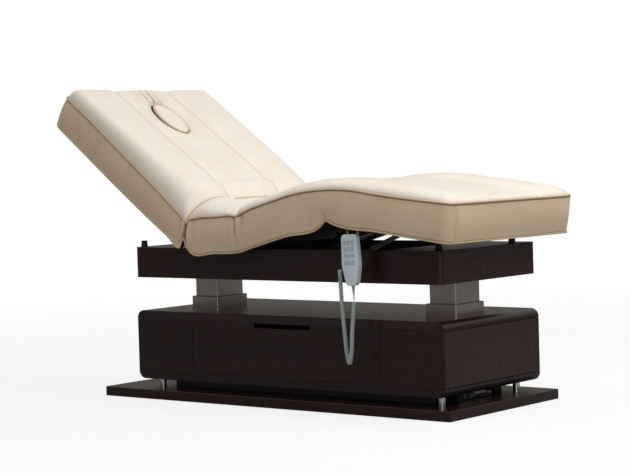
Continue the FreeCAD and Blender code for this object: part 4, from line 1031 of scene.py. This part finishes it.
def piped_edge(rows, first, last, outset, rise, beside):
    """Cords along an edge and the sewn line a little above or below each, painted dark for the shade beside
    the cord, as two lists of tubes.
    """
    cords = edge_loop(rows, first, last, outset, rise)
    threads = edge_loop(rows, first, last, outset - THREAD_INSET, rise + beside)
    return [tube(path, PIPING_RADIUS) for path in cords], [tube(path, THREAD_RADIUS, 6) for path in threads]


def piping_piece(name, first, last):
    """Piping cords on the edges of a piece's border, each with a sewn line beside it, painted dark for the
    shade under the cord. The back has none on its bottom edge, where the leather wraps round the panel."""
    cords, threads = piped_edge(TOP, first, last, 0.0014, 0.0, -THREAD_BESIDE)
    if first == 0:
        fold = KEY_RUN["fold"]
        low_start = nearest_station(fold - 0.012)
        for side in (0, -1):
            low = thinned(UNDER_GRID[low_start : last + 1, side] + np.array([0, 0, LOW_RISE]), PATH_STEP)
            cords.append(tube(low, PIPING_RADIUS))
            threads.append(tube(low + np.array([0, 0, THREAD_BESIDE]), THREAD_RADIUS, 6))
        across = TOP[nearest_station(fold)] + np.array([0, 0, 0.0015])
        cords.append(tube(across[2:-2], PIPING_RADIUS))
    else:
        low_cords, low_threads = piped_edge(UNDER_GRID, first, last, 0.0012, LOW_RISE, THREAD_BESIDE)
        cords.extend(low_cords)
        threads.extend(low_threads)
    cord_points, cord_faces = join(*cords)
    points, faces = join((cord_points, cord_faces), join(*threads))
    kinds = [0] * len(cord_faces) + [1] * (len(faces) - len(cord_faces))
    return new_piece(name, points, faces, [PIPING_PAINTED_SHADE, SEAM_THREAD_AND_SHADE], kinds)


SEAT_LENGTH = np.linalg.norm(THIGH_HINGE - BACK_HINGE)
THIGH_LENGTH = np.linalg.norm(KNEE_HINGE - THIGH_HINGE)
PIECES = (  # name, end stations, two bodies with a side-view start and end point, and the cushions replaced
    (
        "back",
        (0, SPLITS[0]),
        ("lift_frame", "back_section"),
        (seat.at(0.085, 0), back.at(0.085, 0)),
        ("back_cushion", "seat_cushion"),
    ),
    (
        "seat",
        (SPLITS[0], SPLITS[1]),
        ("lift_frame", "thigh_section"),
        (seat.at(SEAT_LENGTH - 0.07, 0), thigh.at(0.07, 0)),
        ("seat_cushion", "thigh_cushion"),
    ),
    (
        "leg",
        (SPLITS[1], len(RUNS) - 1),
        ("thigh_section", "leg_section"),
        (thigh.at(THIGH_LENGTH - 0.11, 0), leg.at(0.11, 0)),
        ("thigh_cushion", "leg_cushion"),
    ),
)


STITCH_PITCH, STITCH_RADIUS, STITCH_RISE = 0.0068, 0.0011, 0.0004


def stitching_piece(name, first, last):
    """Rows of stitches in the two long seams, sunk halfway into the leather."""
    column = {side: int(np.argmin(abs(SHARES * HALF_WIDTH - side * STITCH_Y))) for side in (-1, 1)}
    stitches = []
    for side, j in column.items():
        path = TOP[first : last + 1, j]
        length = lengths_along(path)
        starts = np.arange(0.004, length[-1] - 0.004, STITCH_PITCH)
        for start in starts:
            along = np.linspace(start, start + STITCH_PITCH * 0.72, 4)
            sink = np.array([STITCH_RISE - 0.0012, STITCH_RISE, STITCH_RISE, STITCH_RISE - 0.0012])
            stitch = sampled(path, length, along)
            stitch[:, 2] += sink
            stitches.append(tube(stitch, STITCH_RADIUS, 5))
    points, faces = join(*stitches)
    return new_piece(name, points, faces, [STITCH_THREAD])


for name, ends, bodies, blend_ends, stands_for in PIECES:
    cover = mattress_piece(f"mattress_{name}_cover", *ends)
    cords = piping_piece(f"mattress_{name}_piping", *ends)
    stitches = stitching_piece(f"mattress_{name}_stitching", *ends)
    for piece in (cover, cords, stitches):
        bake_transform(piece)
    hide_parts(*stands_for)


# ---- face plug


PLUG_GAP, PLUG_SHIFT = 0.0150, 0.0030  # the plug's gap to the hole, and how far it sits off centre
PLUG_WELT = 0.0052  # radius of the cord round its rim
PLUG_SIDES = 96  # points round each ring
PLUG_RIM, PLUG_FLOOR = 0.1320, 0.0195  # heights over the back's hinge line
PLUG_DOME = 0.0100  # height of the middle over the rim


def face_plug():
    """Oval cushion that fills the face hole: domed, gathered at its edge, with tapered sides."""
    count = PLUG_SIDES
    turn = np.linspace(0, 2 * math.pi, count, endpoint=False)
    along, normal = row_vector(back.along), row_vector(back.up)
    middle = row_vector(back.at(HEAD_END - HOLE_RUN, 0))
    gather = np.cos(19 * turn + 0.6 * np.sin(3 * turn))
    rows = []
    for share in (0.0, 0.15, 0.3, 0.45, 0.6, 0.72, 0.82, 0.9, 0.955, 0.985, 1.0):
        dome = PLUG_DOME * (1 - share**4) ** 0.8 + 0.0011 * gather * share**5 * (1 - share**24)
        rows.append((share, PLUG_RIM + dome))
    for drop, share in ((0.006, 1.0), (0.02, 0.995), (0.045, 0.985), (0.07, 0.975)):
        rows.append((share, np.full(count, PLUG_RIM - drop)))
    for share in (0.95, 0.7, 0.4, 0.0):
        rows.append((share, np.full(count, PLUG_FLOOR)))
    build, rings = Builder(), []
    for share, height in rows:
        wobble = 1 + 0.006 * gather * (share > 0.9)
        reach_long, reach_wide = (HOLE_LONG - PLUG_GAP) * share, (HOLE_WIDE - PLUG_GAP) * share
        ring = middle + np.outer(height, normal)
        ring += np.outer(np.cos(turn) * reach_long * wobble, along)
        ring[:, 1] += PLUG_SHIFT + np.sin(turn) * reach_wide * wobble
        rings.append(build.grid(ring))
        if share == 1.0 and height[0] > PLUG_RIM - 0.002:
            welt = tube(ring - normal * 0.0015, PLUG_WELT, 10, closed=True)
    rings = np.array(rings)
    build.quads(np.hstack([rings, rings[:, :1]]), COVER)
    plug = new_piece("face_plug_cushion", build.points, build.faces, [CREAM])
    shape = bmesh.new()
    shape.from_mesh(plug.data)
    bmesh.ops.remove_doubles(shape, verts=shape.verts, dist=0.00001)
    shape.to_mesh(plug.data)
    shape.free()
    # painted shade: the cord round the plug is painted tan, for the shade in the gap round it
    cord = new_piece("face_plug_piping", *welt, [PIPING_PAINTED_SHADE])
    for piece in (plug, cord):
        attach(piece, "face_plug")
    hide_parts("face_plug")


face_plug()


# ---- marks on the handset's keys


KEY_MARKS = {  # small pictures of the bed, as strokes in millimetres from the key's middle
    "handset_key_height": (((-5, 1.5), (5, 1.5)), ((0, 1.5), (0, -3.5)), ((-3.5, -3.5), (3.5, -3.5))),
    "handset_key_back": (((-1, -2.5), (6, -2.5)), ((-1, -2.5), (-5.5, 3))),
    "handset_key_knee": (((-6, -2.5), (-2, -2.5)), ((-2, -2.5), (1.5, 2)), ((1.5, 2), (6, -1.5))),
    "handset_key_tilt": (((-6, -2.5), (6, 1.5)), ((-2, -3.5), (2, -3.5))),
}
ARROW_PLACE, ARROW_HALF, ARROW_HEIGHT = 15.5, 3.2, 5.2
STROKE_WIDTH, PRINT_RISE, PRINT_DEPTH = 1.1, 0.00012, 0.0008


def plate(outline, middle, face):
    """Points and faces of a thin printed shape on a key, from its outline in millimetres."""
    count = len(outline)
    points = []
    for depth in (face - PRINT_RISE, face + PRINT_DEPTH):
        points.extend((middle[0] + x / 1000, depth, middle[2] + z / 1000) for x, z in outline)
    sides = [(k, (k + 1) % count, count + (k + 1) % count, count + k) for k in range(count)]
    return points, [tuple(range(count)), tuple(range(2 * count - 1, count - 1, -1)), *sides]


def stroke(start, end):
    """Outline of a straight stroke of even width."""
    start, end = np.array(start, float), np.array(end, float)
    along = (end - start) / np.linalg.norm(end - start) * STROKE_WIDTH / 2
    across = np.array([-along[1], along[0]])
    return [start - along + across, start - along - across, end + along - across, end + along + across]


def key_marks():
    """Prints an up arrow, a down arrow and a picture of the section that it moves on each key."""
    for label, strokes in KEY_MARKS.items():
        low, high = (np.array(corner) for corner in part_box(label))
        middle, face = (low + high) / 2, low[1]
        shapes = [plate(stroke(*ends), middle, face) for ends in strokes]
        for way in (-1, 1):
            base, tip = -way * ARROW_HEIGHT / 2, way * ARROW_HEIGHT / 2
            arrow = [(-ARROW_HALF, base), (ARROW_HALF, base), (0, tip)]
            shapes.append(plate([(x - way * ARROW_PLACE, z) for x, z in arrow], middle, face))
        marks = new_piece(label + "_marks", *join(*shapes), [PRINT])
        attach(marks, label)


key_marks()


# ---- coiled cord


CORD_PATH = (
    (0.332, -0.368, 0.505),
    (0.337, -0.368, 0.400),
    (0.348, -0.368, 0.270),
    (0.3565, -0.3685, 0.203),
    (0.366, -0.372, 0.183),
    (0.3755, -0.3755, 0.203),
    (0.384, -0.375, 0.290),
    (0.394, -0.372, 0.396),
)
COIL_PITCH, COIL_RADIUS, COIL_WIRE = 0.0046, 0.0058, 0.0019  # wire is the cord's own radius


def coiled_cord():
    """A coiled lead that hangs in a hairpin from behind the handset and back up to it."""
    samples = through(CORD_PATH, ())
    length = lengths_along(samples)
    turns = length[-1] / COIL_PITCH
    steps = int(turns * 14)
    here = np.linspace(0, length[-1], steps + 1)
    middle = sampled(samples, length, here)
    tangent = np.gradient(middle, axis=0)
    tangent /= np.linalg.norm(tangent, axis=1)[:, None]
    side = np.cross(tangent, (0.0, 1.0, 0.0))
    side /= np.linalg.norm(side, axis=1)[:, None]
    depth = np.cross(side, tangent)
    turn = 2 * math.pi * turns * here / length[-1]
    coil = middle + COIL_RADIUS * (side * np.cos(turn)[:, None] + depth * np.sin(turn)[:, None])
    points, faces = tube(coil, COIL_WIRE, 7)
    cord = new_piece("coiled_lead", points, faces, [CORD])
    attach(cord, "leg_section")
    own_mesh(cord)
    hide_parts("coiled_cord")


coiled_cord()


# ---- floor, light and camera


FLOOR_SEEN, FLOOR_BOUNCE = 0.9, 0.30  # floor brightness to the camera, and as it lights the object
FLOOR_GLOW = 0.80  # share of plain white in the floor that the camera sees
FLOOR_FADE_START, FLOOR_FADE_END = 2.2, 5.5  # distances over which the floor fades into the backdrop
HORIZON_LIGHT, ZENITH_LIGHT = (0.175, 0.162, 0.145), (1.0, 0.99, 0.97)
HORIZON_TOP, ZENITH_START = 0.05, 0.8  # upward parts of the directions between which the sky turns bright
SKY_STRENGTH = 0.76


def floor_material():
    """Pale matt floor that fades to the white backdrop; it lights the object like a darker one."""
    s = Shader("studio_floor")
    place = s.add("TexCoord", {}).outputs["Object"]
    speckle = s.noise(place, 60, 4)
    shade = s.spread(speckle, 0.3, 0.7, FLOOR_SEEN, FLOOR_SEEN - 0.02)
    is_camera = s.add("LightPath", {}).outputs["Is Camera Ray"]
    bounced = s.spread(is_camera, 0, 1, FLOOR_BOUNCE, 0)
    brightness = s.math("MULTIPLY_ADD", shade, is_camera, bounced)
    colour = s.add("CombineColor", {0: brightness, 1: brightness, 2: brightness}).outputs[0]
    matt = s.add("BsdfDiffuse", {"Color": colour}).outputs[0]
    clear = s.add("BsdfTransparent", {}).outputs[0]
    white = s.add("Emission", {"Color": (1, 1, 1, 1), "Strength": 1.0}).outputs[0]
    matt = s.add("MixShader", {0: s.math("MULTIPLY", is_camera, FLOOR_GLOW), 1: matt, 2: white}).outputs[0]
    reach = s.add("VectorMath", {0: place}, operation="LENGTH").outputs["Value"]
    fade = s.spread(reach, FLOOR_FADE_START, FLOOR_FADE_END)
    surface = s.add("MixShader", {0: s.math("MULTIPLY", fade, is_camera), 1: matt, 2: clear}).outputs[0]
    s.add("OutputMaterial", {"Surface": surface})
    return s.owner


def studio():
    """Floor, and a sky that is bright overhead and dim at the horizon; the camera sees it white."""
    bpy.ops.mesh.primitive_plane_add(size=60, location=(0, 0, -0.0005))
    floor = bpy.context.object
    floor.name = "studio_floor"
    floor.data.materials.append(floor_material())

    world = bpy.data.worlds.new("studio")
    bpy.context.scene.world = world
    sky = Shader("studio", world)
    direction = sky.add("TexCoord", {}).outputs["Generated"]
    inputs = {"Value": sky.add("SeparateXYZ", {0: direction}).outputs["Z"]}
    inputs.update({"From Min": HORIZON_TOP, "From Max": ZENITH_START})
    rise = sky.add("MapRange", inputs, interpolation_type="SMOOTHSTEP").outputs[0]
    tint = sky.blend(rise, HORIZON_LIGHT, ZENITH_LIGHT)
    lit = sky.add("Background", {"Color": tint, "Strength": SKY_STRENGTH}).outputs[0]
    seen = sky.add("Background", {"Color": (1, 1, 1, 1), "Strength": 1.0}).outputs[0]
    is_camera = sky.add("LightPath", {}).outputs["Is Camera Ray"]
    choice = sky.add("MixShader", {0: is_camera, 1: lit, 2: seen}).outputs[0]
    sky.add("OutputWorld", {"Surface": choice})


def area_light(name, place, target, size, power):
    """A soft rectangular lamp at a place, turned to a target; size in metres, power in watts."""
    light = bpy.data.lights.new(name, "AREA")
    light.shape = "RECTANGLE"
    light.size, light.size_y = size
    light.energy = power
    obj = add_object(name, light)
    obj.location = place
    obj.rotation_euler = (Vector(target) - Vector(place)).to_track_quat("-Z", "Y").to_euler()


CAMERA_PLACE = (4.578, -5.745, 0.944)
CAMERA_YAW, CAMERA_FALL, CAMERA_ROLL = 38.98, 2.69, -1.696
CAMERA_LENS = 113.97  # focal length in millimetres


def camera():
    """The view of the photo: turned by yaw, looking down by fall and rolled, in degrees."""
    yaw, fall, roll = (math.radians(v) for v in (CAMERA_YAW, CAMERA_FALL, CAMERA_ROLL))
    back_way = Vector((math.sin(yaw) * math.cos(fall), -math.cos(yaw) * math.cos(fall), math.sin(fall)))
    level = Vector((math.cos(yaw), math.sin(yaw), 0))
    upright = back_way.cross(level)
    right = level * math.cos(roll) + upright * math.sin(roll)
    up = upright * math.cos(roll) - level * math.sin(roll)
    turn = Matrix((right, up, back_way)).transposed()
    data = bpy.data.cameras.new("camera")
    data.sensor_width = 36
    data.lens = CAMERA_LENS
    data.clip_end = 200
    obj = add_object("camera", data)
    obj.matrix_world = Matrix.Translation(CAMERA_PLACE) @ turn.to_4x4()
    bpy.context.scene.camera = obj


studio()
area_light("overhead", (1.7, 0.4, 3.1), (0.1, 0.05, 0.6), (3.4, 2.8), 58)
area_light("front_right", (4.1, -4.0, 1.5), (0.4, 0, 0.6), (2.0, 2.0), 26)
camera()
bpy.context.scene.view_settings.view_transform = "Standard"
